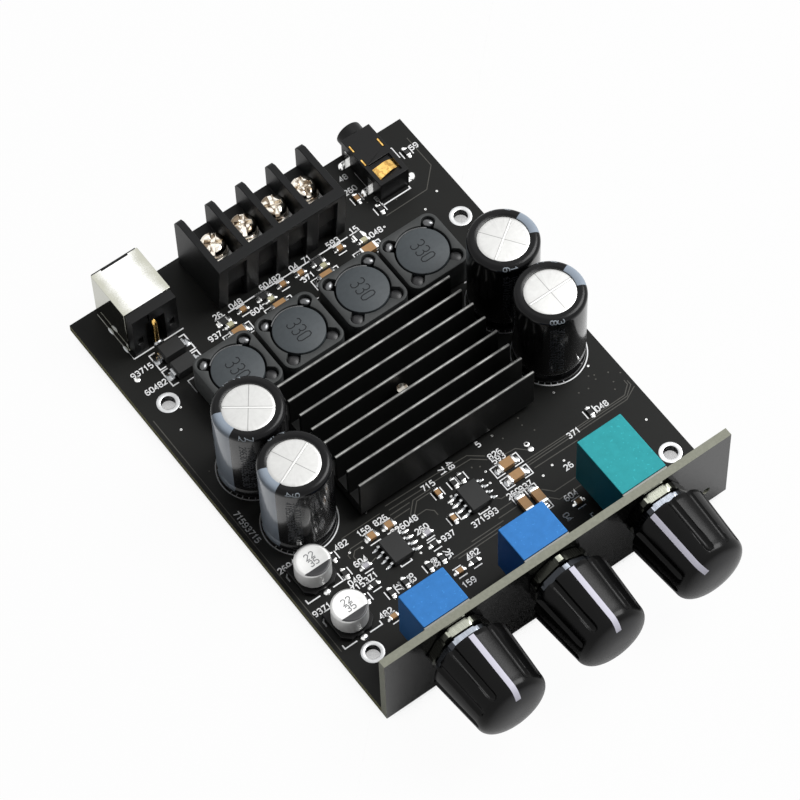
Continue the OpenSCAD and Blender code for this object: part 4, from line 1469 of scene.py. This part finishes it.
@dataclass
class Lettering:
    """Plain numbers drawn as flat strokes."""

    form: Form
    low: float
    high: float
    stroke: float
    step: float = 10.0
    slim: float = 1.0
    pitch: float = 0.88
    half_digit: float = 0.3

    def write(self, text: str, centre: Point, size: float, turn: Turn) -> None:
        """Writes a number.

        Args:
            text: Digits to write.
            centre: Middle of the number.
            size: Height of a digit.
            turn: Reading direction.
        """
        angle = math.radians(turn.value)
        c, s = math.cos(angle), math.sin(angle)
        start = -(len(text) - 1) * self.pitch / 2 - self.half_digit
        for k, digit in enumerate(text):
            for stroke in STROKES[digit]:
                left = start + k * self.pitch
                local = [((left + x) * size * self.slim, (y - 0.5) * size) for x, y in stroke]
                path = [Vector((centre[0] + x * c - y * s, centre[1] + x * s + y * c)) for x, y in local]
                fine = path[:1]
                for a, b in zip(path, path[1:]):
                    count = max(1, math.ceil((b - a).length / self.step))
                    fine += [a.lerp(b, n / count) for n in range(1, count + 1)]
                self.form.ribbon(fine, self.stroke, self.low, self.high)


@dataclass
class ChipPart:
    """Place of one chip part, read from the CAD: its centre, half sizes and long direction."""

    x: float
    y: float
    half_long: float
    half_wide: float
    height: float
    along_x: bool

    def point(self, along: float, across: float) -> Point:
        """Returns a board point at distances along and across the part."""
        return (self.x + along, self.y + across) if self.along_x else (self.x - across, self.y + along)


# Places of the printed numbers as x, y and count of digits, by reading direction
NUMBERS: dict[Turn, list[tuple[float, float, int]]] = {
    Turn.ACROSS: [
        (-13.75, 76.3, 2), (-9.9, 76.4, 3), (-4.0, 76.4, 2), (-1.7, 76.4, 3), (2.3, 76.4, 2),
        (5.0, 76.4, 2), (10.6, 76.4, 3), (15.0, 76.3, 2), (-16.4, 73.2, 3), (-7.7, 73.2, 3),
        (3.15, 73.3, 3), (17.8, 73.6, 3), (-30.2, 75.15, 5), (-30.1, 71.1, 5), (-18.25, 27.75, 3),
        (-14.9, 27.75, 3), (-12.2, 24.65, 6), (-10.35, 22.3, 3), (-7.6, 18.65, 3), (-22.0, 23.5, 3),
        (-22.4, 20.1, 3), (-24.8, 21.2, 3), (-25.1, 20.0, 3), (-6.4, 13.5, 3), (-10.0, 9.65, 3),
        (7.8, 26.35, 3), (7.8, 25.3, 3), (5.8, 18.45, 3), (8.25, 18.4, 3), (13.2, 12.45, 3),
        (16.25, 17.1, 2), (-0.75, 17.7, 6), (6.7, 29.5, 1), (-22.8, 27.9, 3), (-32.3, 30.0, 4),
        (-32.3, 20.1, 4), (19.8, 86.0, 2), (19.3, 83.2, 3), (22.4, 79.0, 2), (33.5, 83.9, 2),
        (20.8, 21.6, 3), (27.7, 22.9, 3), (-4.7, 28.2, 3), (-24.3, 13.3, 3),
    ],
    Turn.TOWARDS: [
        (-9.5, 16.0, 2), (-17.1, 16.0, 2), (-12.2, 16.0, 2), (-19.8, 16.0, 2), (10.3, 9.55, 2),
        (-1.2, 29.0, 2), (0.55, 29.1, 2), (-33.25, 40.0, 8),
    ],
}

# Covered copper lines as corner points
COPPER: list[list[Point]] = [
    [(11.2, 22.2), (19.7, 22.1), (32.1, 22.2), (33.8, 23.6), (33.8, 24.6)],
    [(11.1, 21.7), (32.3, 21.8), (34.2, 23.2), (34.2, 24.2)],
    [(11.1, 21.2), (31.9, 21.3), (34.5, 22.6)],
    [(11.5, 20.2), (20.5, 20.1)],
    [(9.0, 25.3), (11.2, 25.1), (12.6, 23.7)],
    [(-12.7, 29.4), (-2.6, 29.2), (3.9, 28.9), (6.3, 27.0)],
    [(-12.6, 28.4), (-2.4, 28.2), (4.0, 28.0), (6.2, 26.2)],
    [(-22.4, 28.3), (-21.9, 28.8), (-14.2, 28.8)],
    [(-23.0, 24.9), (-23.0, 25.6), (-22.0, 26.4), (-19.4, 26.4)],
    [(-22.4, 24.2), (-22.4, 24.9), (-21.6, 25.7), (-20.4, 25.7)],
    [(-9.7, 24.7), (-9.7, 25.2), (-7.9, 27.0), (-4.6, 27.0)],
    [(-10.2, 25.1), (-10.2, 25.6), (-8.3, 27.5), (-4.6, 27.5)],
    [(-10.2, 24.0), (-9.4, 24.8), (-7.6, 24.8), (-6.6, 23.8), (-6.6, 22.8)],
    [(-12.9, 26.6), (-9.6, 26.6)],
    [(-13.0, 27.5), (-9.0, 27.5)],
    [(-9.5, 14.8), (0.4, 14.8)],
    [(-8.8, 14.2), (-0.2, 14.2)],
    [(-5.2, 15.4), (1.4, 15.4)],
    [(1.0, 16.2), (8.6, 16.2)],
    [(2.5, 20.1), (3.6, 18.9), (4.7, 18.9)],
    [(2.0, 17.4), (4.6, 17.4)],
    [(10.0, 16.3), (11.5, 14.7), (16.5, 14.7), (18.0, 16.2)],
    [(10.0, 14.4), (11.3, 13.0), (16.0, 13.0)],
    [(21.2, 75.2), (30.0, 75.3), (33.6, 78.9), (33.6, 86.0)],
    [(-19.5, 22.6), (-20.9, 22.2), (-22.9, 24.2)],
    [(-34.2, 12.0), (-34.2, 66.0)],
    [(-13.0, 13.2), (-14.6, 11.6), (-21.0, 11.6)],
]

# Small plated holes
VIAS: list[Point] = [
    (-20.3, 25.4), (-22.5, 25.9), (-3.6, 23.1), (-2.8, 24.3), (4.6, 24.6), (3.9, 22.4), (5.4, 21.3),
    (11.8, 18.2), (14.2, 18.9), (16.3, 18.4), (9.6, 29.4), (20.6, 15.4), (22.9, 29.8), (30.7, 30.4),
    (32.1, 16.3), (-27.6, 32.7), (-31.4, 61.8), (-29.0, 65.4), (19.6, 73.6), (27.4, 72.2), (31.2, 74.0),
    (-8.8, 30.9), (-15.9, 30.4), (-13.1, 18.8),
]

# Round test pads as x, y and radius of the hole, or 0 for none
TEST_PADS = ((13.2, 24.66, 0.26), (13.2, 23.5, 0.0), (-31.8, 74.2, 0.0))

# Small holes covered by the mask
COVERED: list[Point] = [
    (29.5, 28.8), (30.4, 28.4), (32.6, 27.4), (34.2, 26.1), (32.2, 25.4), (30.1, 27.6), (26.2, 27.2),
    (28.0, 26.9), (31.5, 24.1), (15.9, 26.0), (15.1, 29.5), (14.8, 28.0), (10.7, 27.9), (-5.6, 21.6),
    (-4.4, 20.2), (3.2, 26.6), (4.4, 25.9), (-27.2, 24.6), (-30.6, 36.2), (-32.2, 52.4), (20.2, 79.4),
    (24.6, 76.9), (28.4, 83.2), (-19.2, 83.0),
]


@dataclass
class BoardSurface:
    """The bare board with its panel, print, pads, solder and covered copper."""

    paint: Paint
    print_high: float = 0.03
    line: float = 0.2
    bold: float = 0.24
    thin: float = 0.12
    copper_width: float = 0.16
    copper_high: float = 0.012
    covered_hole: float = 0.16
    digit: float = 1.0
    digit_stroke: float = 0.2
    ring_inner: float = 1.36
    ring_outer: float = 2.0
    ring_high: float = 0.035
    barrel: float = 0.08
    small_lead: Point = (0.45, 0.2)
    chip_fillet: float = 0.4
    can_joint: float = 0.75
    pin_joint: float = 0.95
    bar_gap: float = 0.52
    large_chip: float = 1.2
    pad_reach: float = 1.1
    bracket_arm: float = 1.7

    def chips(self) -> list[ChipPart]:
        """Returns every chip part with its plated ends."""
        ends = islands("chip_ends")
        parts = []
        for low, high in islands("chip_capacitors") + islands("chip_resistors"):
            c = (low + high) / 2
            near = sorted(ends, key=lambda e: (middle_of(e) - c).xy.length)[:2]
            lo = Vector(map(min, near[0][0], near[1][0]))
            hi = Vector(map(max, near[0][1], near[1][1]))
            size = (hi - lo) / 2
            parts.append(ChipPart(c.x, c.y, max(size.xy), min(size.xy), hi.z, size.x > size.y))
        return parts

    def lay(self, form: Form, path: Sequence[Point], width: float = 0.0, closed: bool = False) -> None:
        """Lays one printed line.

        Args:
            form: The print's form.
            path: Points of the line.
            width: Its width, or 0 for the usual one.
            closed: Whether its end joins its start.
        """
        form.ribbon(path, width or self.line, BURIED, self.print_high, closed)

    def part_marks(self, form: Form, parts: Sequence[ChipPart]) -> None:
        """Prints bars beside small chip parts and brackets around large ones.

        Args:
            form: The print's form.
            parts: The chip parts.
        """
        for part in parts:
            if part.half_long < self.large_chip:
                side, reach = part.half_wide + self.bar_gap, part.half_long * 1.06
                for s in (-1, 1):
                    self.lay(form, [part.point(-reach, s * side), part.point(reach, s * side)])
                continue
            side, end = part.half_wide + 0.25, part.half_long + self.pad_reach
            for s in (-1, 1):
                inner = s * (end - self.bracket_arm)
                corners = [(inner, side), (s * end, side), (s * end, -side), (inner, -side)]
                self.lay(form, [part.point(a, b) for a, b in corners])

    def outlines(self, form: Form) -> None:
        """Prints the outlines of the larger parts.

        Args:
            form: The print's form.
        """
        for index in range(1, 5):
            low, high = extent(f"sleeve_{index}")
            x, y, r = (low.x + high.x) / 2, (low.y + high.y) / 2, (high.x - low.x) / 2 + 0.3
            self.lay(form, arc(r, 0, 355, 72, (x, y)), closed=True)
            for angle in range(196, 266, 10):
                c, s = math.cos(math.radians(angle)), math.sin(math.radians(angle))
                self.lay(form, [(x + (r - 0.9) * c, y + (r - 0.9) * s), (x + r * c, y + r * s)])
            low, high = extent(f"inductor_{index}")
            for x, back in ((low.x - 0.25, 1.0), (high.x + 0.25, -1.0)):
                self.lay(form, [(x, high.y - 2.4), (x, high.y + 0.4), (x + back * 2.2, high.y + 0.4)])
                self.lay(form, [(x, low.y + 2.0), (x, low.y - 0.3), (x + back * 2.2, low.y - 0.3)])
        for low, high in islands("small_can_bases"):
            m, x = 0.45, (low.x + high.x) / 2
            x0, x1, y0, y1 = low.x - m, high.x + m, low.y - m, high.y + m
            for s, end in ((1, x1), (-1, x0)):
                gap, bevel = x + s * 1.3, 1.4
                self.lay(form, [(gap, y0), (end, y0), (end, y0 + 0.8)], self.bold)
                back = [(gap, y1), (end - s * bevel, y1), (end, y1 - bevel), (end, y1 - bevel - 1.0)]
                self.lay(form, back, self.bold)
        low, high = extent("terminal_housing")
        self.lay(form, [(low.x + 0.9, low.y), (high.x - 0.4, low.y)], self.bold)
        low, _ = extent("audio_housing")
        left, front, right = low.x - 0.2, low.y - 0.75, low.x + 5.7
        self.lay(form, [(left, front), (right, front), (right, front + 0.55)], self.bold)
        self.lay(form, [(left, front), (left, front + 2.4)], self.thin)
        self.lay(form, [(left, low.y + 3.4), (left, low.y + 7.7)], self.thin)
        right, back = low.x + 8.0, low.y + 7.9
        self.lay(form, [(right, low.y + 5.4), (right, back), (low.x + 7.4, low.y + 8.1)], 0.18)
        low, high = extent("dc_housing")
        pin = middle("dc_pin").x
        for x0, x1 in ((low.x - 0.6, pin - 1.0), (pin + 1.0, high.x + 0.6)):
            self.lay(form, [(x0, low.y - 0.16), (x1, low.y - 0.16)], self.bold)
        self.lay(form, [(low.x - 0.6, low.y - 0.16), (low.x - 0.6, high.y - 1.2)], self.thin)
        for low, high in islands("signal_chips"):
            x, y = (low.x + high.x) / 2, low.y - 0.6
            self.lay(form, [(x - 1.05, y + 0.35), (x - 1.05, y), (x + 1.05, y), (x + 1.05, y + 0.35)], 0.22)
        for low, high in islands("diodes"):
            for x, back in ((low.x - 1.5, 1.2), (high.x + 1.5, -1.2)):
                y0, y1 = low.y - 0.3, high.y + 0.3
                self.lay(form, [(x + back, y0), (x, y0), (x, y1), (x + back, y1)], self.bold)
        low, high = extent("volume_body")
        left = low.x - 0.9
        self.lay(form, [(left + 0.5, high.y - 5.4), (left, high.y - 5.4), (left, low.y + 0.6)])

    def print_marks(self, parts: Sequence[ChipPart]) -> None:
        """Builds the white print.

        Args:
            parts: The chip parts to frame.
        """
        form = Form()
        self.part_marks(form, parts)
        self.outlines(form)
        letters = Lettering(form, BURIED, self.print_high, self.digit_stroke)
        for turn, places in NUMBERS.items():
            for index, (x, y, count) in enumerate(places):
                text = "".join(str((index * 7 + k * 4 + count) % 10) for k in range(count))
                letters.write(text, (x, y), self.digit, turn)
        form.piece("white_print", self.paint.silk, "white_inlay")

    def copper(self) -> None:
        """Builds the copper lines that show through the mask."""
        form = Form()
        for path in COPPER:
            form.ribbon(path, self.copper_width, BURIED, self.copper_high)
        for x, y in COVERED:
            form.lens(Vector((x, y, 0.0)), (self.covered_hole, self.covered_hole), 0.03, steps=10)
        form.piece("covered_lines", self.paint.trace, "solder_mask")

    def rings(self) -> None:
        """Builds the plated mounting holes and the small plated holes."""
        rings = Form()
        dims = next(m for m in frame["record"]["mounts"] if m["name"] == "board_holes")["dims"]
        centre = -ORIGIN / MM
        under = extent("main_board")[0].z
        for sx in (-0.5, 0.5):
            for sy in (-0.5, 0.5):
                x = centre.x + sx * dims["spacing_x_mm"]
                y = centre.y + sy * dims["spacing_y_mm"]
                o, i = self.ring_outer, self.ring_inner
                wall, high = i - self.barrel, self.ring_high
                lower = [(o, under + 0.05), (o, under - 0.01), (o - 0.1, under - high)]
                bore = [(wall, under - 0.03), (wall, 0.0), (i, high)]
                upper = [(o - 0.1, high), (o, 0.01), (o, -0.05)]
                rings.lathe([*lower, *bore, *upper], 64, Matrix.Translation(Vector((x, y, 0))))
        rings.piece("plated_rings", self.paint.plating, "tin")
        vias = Form()
        for x, y in VIAS:
            rim = [(0.09, 0.004), (0.11, 0.02), (0.2, 0.016), (0.22, -0.01)]
            vias.lathe(rim, 16, Matrix.Translation(Vector((x, y, 0))))
        for x, y, hole in TEST_PADS:
            rim = [(hole, 0.004), (hole, 0.05), (0.44, 0.05), (0.5, 0.03), (0.5, -0.01)]
            vias.lathe(rim if hole else rim[1:], 24, Matrix.Translation(Vector((x, y, 0))))
        vias.piece("small_holes", self.paint.tin, "tin")

    def solder(self, parts: Sequence[ChipPart]) -> None:
        """Builds the solder at the chip parts, leads and jacks.

        Args:
            parts: The chip parts to solder.
        """
        bright, dull = Form(), Form()
        for part in parts:
            angle = 0.0 if part.along_x else 90.0
            large = part.half_long > self.large_chip
            for s in (-1, 1):
                x, y = part.point(s * (part.half_long + 0.12), 0.0)
                size = (self.chip_fillet, part.half_wide * (0.9 if large else 1.0))
                bright.lens(Vector((x, y, 0)), size, min(0.3, part.height * 0.5), angle)
                if large:
                    x, y = part.point(s * (part.half_long + 0.5), 0.0)
                    dull.lens(Vector((x, y, 0)), (0.45, part.half_wide * 0.95), 0.12, angle)
        heat = extent("heatsink")
        chips = sorted((middle_of(b) for b in islands("signal_chips")), key=lambda m: m.x)
        diodes = [middle_of(b) for b in islands("diodes")]
        for low, high in islands("chip_leads"):
            c = (low + high) / 2
            if heat[0].x < c.x < heat[1].x and heat[0].y < c.y < heat[1].y:
                continue
            body = min(chips + diodes, key=lambda m: (m - c).length)
            out = 1.0 if c.x > body.x else -1.0
            foot = (high.x if out > 0 else low.x) + out * 0.1
            half = (high.y - low.y) / 2
            if body in diodes:
                dull.lens(Vector((foot, c.y, 0)), (0.75, half + 0.1), 0.3)
                continue
            if (body == chips[0]) == (out > 0):
                bright.lens(Vector((foot + out * 0.2, c.y, 0)), (0.78, half + 0.16), 0.22)
            else:
                length, height = self.small_lead
                dull.lens(Vector((foot, c.y, 0)), (length, half + 0.06), height)
                bright.lens(Vector((foot + out * 0.25, c.y, 0)), (0.14, 0.14), 0.2)
            bright.lens(Vector((c.x - out * 0.35, c.y, high.z - 0.1)), (0.15, half * 0.8), 0.13)
        for low, high in islands("small_can_bases"):
            x = (low.x + high.x) / 2
            for y, s in ((low.y, -1), (high.y, 1)):
                bright.lens(Vector((x, y + s * 0.55, 0)), (self.can_joint, self.can_joint), 0.5)
        side = middle("audio_housing").x
        for low, high in islands("audio_contacts"):
            if low.z > 0.05:
                continue
            x = low.x - 0.25 if (low.x + high.x) / 2 < side else high.x + 0.25
            bright.lens(Vector((x, (low.y + high.y) / 2, 0)), (0.9, 0.7), 0.55, 50.0)
        low, high = extent("dc_housing")
        pin = Vector((middle("dc_pin").x, low.y + 0.3, 0))
        dull.lens(pin, (self.pin_joint, self.pin_joint), 0.8, 0.0, 24)
        for y in (low.y + 2.3, low.y + 6.8):
            dull.lens(Vector((low.x - 0.6, y, 0)), (0.85, 0.3), 0.12, 90.0)
        bright.piece("solder_joints", self.paint.solder, "tin")
        dull.piece("solder_pads", self.paint.grey_solder, "tin")

    def build(self) -> None:
        """Dresses board and panel and builds print, copper, pads and solder."""
        dress("main_board", self.paint.mask)
        dress("front_panel", self.paint.panel)
        parts = self.chips()
        self.print_marks(parts)
        self.copper()
        self.rings()
        self.solder(parts)


@dataclass
class Connectors:
    """The barrier terminal, the power jack and the audio jack."""

    paint: Paint
    spring_half: float = 2.15
    spring_front: float = 1.5
    spring_back: float = 3.7
    sheet: float = 0.15

    def spring(self) -> None:
        """Builds the audio jack's contacts: an arched spring, upright blades and soldered feet."""
        low, high = extent("audio_housing")
        axis, top = middle("audio_housing").x, high.z
        gold, feet = Form(), Form()
        rings = []
        for k in range(33):
            x = self.spring_half * (k / 16 - 1)
            z = top - 0.42 + 0.5 * math.cos(x * 0.7) + 0.07 * math.sin(2.6 * x)
            front, back = low.y + self.spring_front + 0.12 * x, low.y + self.spring_back
            corners = ((front, z), (back, z), (back, z - self.sheet), (front, z - self.sheet))
            rings.append(gold.ring([Vector((axis + x, y, h)) for y, h in corners], Matrix()))
        gold.skin(rings)
        for a, b in islands("audio_contacts"):
            if b.x - a.x > self.spring_half:
                continue
            if a.z > 0.05:
                outline = [(a.x, a.y), (b.x, a.y), (b.x, b.y), (a.x, b.y)]
                gold.stack([outline, outline], [a.z, b.z + 0.2])
                continue
            outer = a.x if (a.x + b.x) / 2 < axis else b.x
            inner = a.x + b.x - outer
            bend = inner + (outer - inner) * 0.2
            for span, rise in (((outer, inner), 0.2), ((inner, bend), b.z)):
                x0, x1 = min(span), max(span)
                outline = [(x0, a.y), (x1, a.y), (x1, b.y), (x0, b.y)]
                feet.stack([outline, outline], [0.0, rise])
        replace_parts(gold.piece("audio_spring", self.paint.gold, "gold"), "audio_contacts")
        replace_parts(feet.piece("audio_feet", self.paint.tin, "gold"), "audio_contacts")

    def build(self) -> None:
        """Dresses the connectors' nodes."""
        paint = self.paint
        dress("terminal_housing", paint.terminal, 0.14)
        dress("terminal_contacts", paint.tin, 0.05)
        for index in range(1, 5):
            dress(f"washer_{index}", paint.nickel, 0.06)
            dress(f"screw_{index}", paint.nickel, 0.06)
        dress("dc_housing", paint.black, 0.12)
        dress("dc_shield", paint.shield, 0.06)
        dress("dc_pin", paint.gold)
        dress("dc_spring", paint.gold)
        dress("audio_housing", paint.black, 0.08)
        self.spring()


@dataclass
class SmallCans:
    """The two surface-mount electrolytic cans."""

    paint: Paint
    metal: Colour = (0.70, 0.70, 0.69)
    ink: Colour = (0.02, 0.02, 0.022)
    chord: float = -1.5
    seat: float = 0.9
    waist: float = 0.35
    rounding: float = 0.45
    stroke: float = 0.16
    digit: float = 1.1

    def build(self) -> None:
        """Builds the cans and dresses their bases."""
        for index, (low, high) in enumerate(sorted(islands("small_cans"), key=lambda b: b[0].y), 1):
            r, h = (high.x - low.x) / 2, high.z
            centre = spot((low.x + high.x) / 2, (low.y + high.y) / 2)
            seat, neck, bend = self.seat, r - self.waist, self.rounding
            profile = [(0.0, seat), (neck, seat), (neck, 1.2), (r - 0.1, 1.45), (r, 1.7), (r, h - 0.5)]
            profile += arc(bend, 0, 90, 6, (r - bend, h - bend)) + [(r - 0.75, h - 0.04), (0.0, h - 0.04)]
            form = Form()
            form.lathe(profile, 96)
            finish = SegmentFinish(f"small_can_{index}", self.metal, self.ink, self.chord, h - 0.12)
            can = form.piece(f"small_can_{index}", finish.build(), "can_aluminium", centre=centre)
            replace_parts(can, "small_cans")
            marks = Form()
            letters = Lettering(marks, h - 0.06, h - 0.025, self.stroke)
            letters.write("22", (0.0, 0.9), self.digit, Turn.ACROSS)
            letters.write("35", (0.0, -0.45), self.digit, Turn.ACROSS)
            marks.piece(f"small_can_{index}_print", self.paint.can_ink, "can_aluminium", centre=centre)
        dress("small_can_bases", self.paint.black, 0.1)


@dataclass
class Cooling:
    """The heat sink with the chip and pad under it."""

    paint: Paint

    def build(self) -> None:
        """Dresses the cooling parts."""
        dress("heatsink", self.paint.anodised, 0.12)
        dress("heatsink_screw", self.paint.dark_screw, 0.05)
        dress("amplifier_chip", self.paint.chip)
        dress("thermal_pad", self.paint.pad_rubber)


@dataclass
class Chips:
    """The signal chips, diodes and chip parts."""

    paint: Paint

    def build(self) -> None:
        """Dresses the small parts."""
        dress("signal_chips", self.paint.chip, 0.06)
        dress("diodes", self.paint.chip, 0.08)
        dress("chip_leads", self.paint.grey_solder)
        dress("chip_capacitors", self.paint.ceramic)
        dress("chip_resistors", self.paint.chip)
        dress("chip_ends", self.paint.tin, 0.05)


# Studio


@dataclass
class Studio:
    """Pale floor, soft lamps and the camera at the photograph's angle."""

    azimuth: float = -34.263
    elevation: float = 60.312
    roll: float = -2.427
    distance: float = 679.4
    lens: float = 181.44
    sensor: float = 36.0
    aim: Place = (1.35, 44.24, 0.0)
    ambient: float = 0.055
    pale: float = 0.6
    white: float = 0.97
    shadow_reach: float = 0.04
    under_reach: float = 0.006
    floor_size: float = 8.0
    floor_gap: float = 0.0002
    contact: float = 0.3
    key_place: Place = (0.5, -0.08, 0.7)
    key_size: float = 0.5
    key_power: float = 8.6
    fill_place: Place = (0.2, 0.6, 0.7)
    fill_size: float = 0.6
    fill_power: float = 0.5

    def camera(self) -> None:
        """Makes the camera."""
        a, e, r = (math.radians(v) for v in (self.azimuth, self.elevation, self.roll))
        back = Vector((math.sin(a) * math.cos(e), -math.cos(a) * math.cos(e), math.sin(e)))
        flat = Vector((math.cos(a), math.sin(a), 0.0))
        over = back.cross(flat)
        right = flat * math.cos(r) + over * math.sin(r)
        up = over * math.cos(r) - flat * math.sin(r)
        data = bpy.data.cameras.new("camera")
        data.sensor_width = self.sensor
        data.lens = self.lens
        data.clip_start, data.clip_end = 0.01, 20.0
        obj = bpy.data.objects.new("camera", data)
        turn = Matrix((right, up, back)).transposed().to_4x4()
        obj.matrix_world = Matrix.Translation(spot(*self.aim) + back * self.distance * MM) @ turn
        bpy.context.scene.collection.objects.link(obj)
        bpy.context.scene.camera = obj

    def lamp(self, name: str, place: Place, size: float, power: float) -> None:
        """Adds a soft lamp aimed at the board.

        Args:
            name: The lamp's name.
            place: Its place in metres.
            size: Side of its square face in metres.
            power: Its power in watts.
        """
        data = bpy.data.lights.new(name, "AREA")
        data.size = size
        data.energy = power
        obj = bpy.data.objects.new(name, data)
        obj.location = Vector(place)
        obj.rotation_euler = (-Vector(place)).to_track_quat("-Z", "Y").to_euler()
        bpy.context.scene.collection.objects.link(obj)

    def world(self) -> None:
        """Makes the surroundings: white to the camera and in reflections, dimmer as light."""
        shader = Shader("studio", world=True)
        level = shader.seen() * (1.0 - self.ambient) + self.ambient
        shader.close(shader.add("ShaderNodeBackground", None, {"Color": (1.0, 1.0, 1.0), "Strength": level})[0])
        bpy.context.scene.world = shader.owner

    def floor(self) -> None:
        """Makes the pale floor: its diffuse part keeps the lamps' shadow, and its glow, seen by the camera and in
        reflections, is dimmed near and under the object from ambient occlusion, a painted shadow.
        """
        size, low = self.floor_size, CAD_BOX[0].z - self.floor_gap
        corners = [(-size, -size, low), (size, -size, low), (size, size, low), (-size, size, low)]
        mesh = bpy.data.meshes.new("floor")
        mesh.from_pydata(corners, [], [(0, 1, 2, 3)])
        shader = Shader("pale_floor")
        base = shader.add("ShaderNodeBsdfDiffuse", None, {"Color": (self.pale, self.pale, self.pale)})[0]
        around = shader.add("ShaderNodeAmbientOcclusion", {"samples": 6}, {"Distance": self.shadow_reach})[1]
        under = shader.add("ShaderNodeAmbientOcclusion", {"samples": 6}, {"Distance": self.under_reach})[1]
        camera = shader.add("ShaderNodeLightPath")[0]
        # Near and under the object the glow is dimmed from ambient occlusion: a painted shadow.
        near = self.contact + under.above(0.25, 0.3) * (1.0 - self.contact)
        level = camera * near + (1.0 - camera) * around.above(0.5, 0.36)
        glow = shader.add("ShaderNodeEmission", None, {"Color": (1.0, 1.0, 1.0), "Strength": level})[0]
        mixed = {0: shader.seen() * self.white, 1: base, 2: glow}
        shader.close(shader.add("ShaderNodeMixShader", None, mixed)[0])
        shader.owner.cycles.emission_sampling = "NONE"
        mesh.materials.append(shader.owner)
        obj = bpy.data.objects.new("floor", mesh)
        bpy.context.scene.collection.objects.link(obj)

    def build(self) -> None:
        """Sets up camera, light and floor."""
        bpy.context.scene.view_settings.view_transform = "Standard"
        self.camera()
        self.world()
        self.floor()
        self.lamp("key", self.key_place, self.key_size, self.key_power)
        self.lamp("fill", self.fill_place, self.fill_size, self.fill_power)


def main() -> None:
    """Builds the studio and every sub-assembly."""
    logging.basicConfig(level=logging.INFO, format="%(message)s")
    Studio().build()
    paint = Paint()
    for part in (BoardSurface, Controls, Connectors, Inductors, Reservoir, Cooling, SmallCans, Chips):
        LOG.info("building %s", part.__name__)
        part(paint).build()


if __name__ == "__main__":
    main()
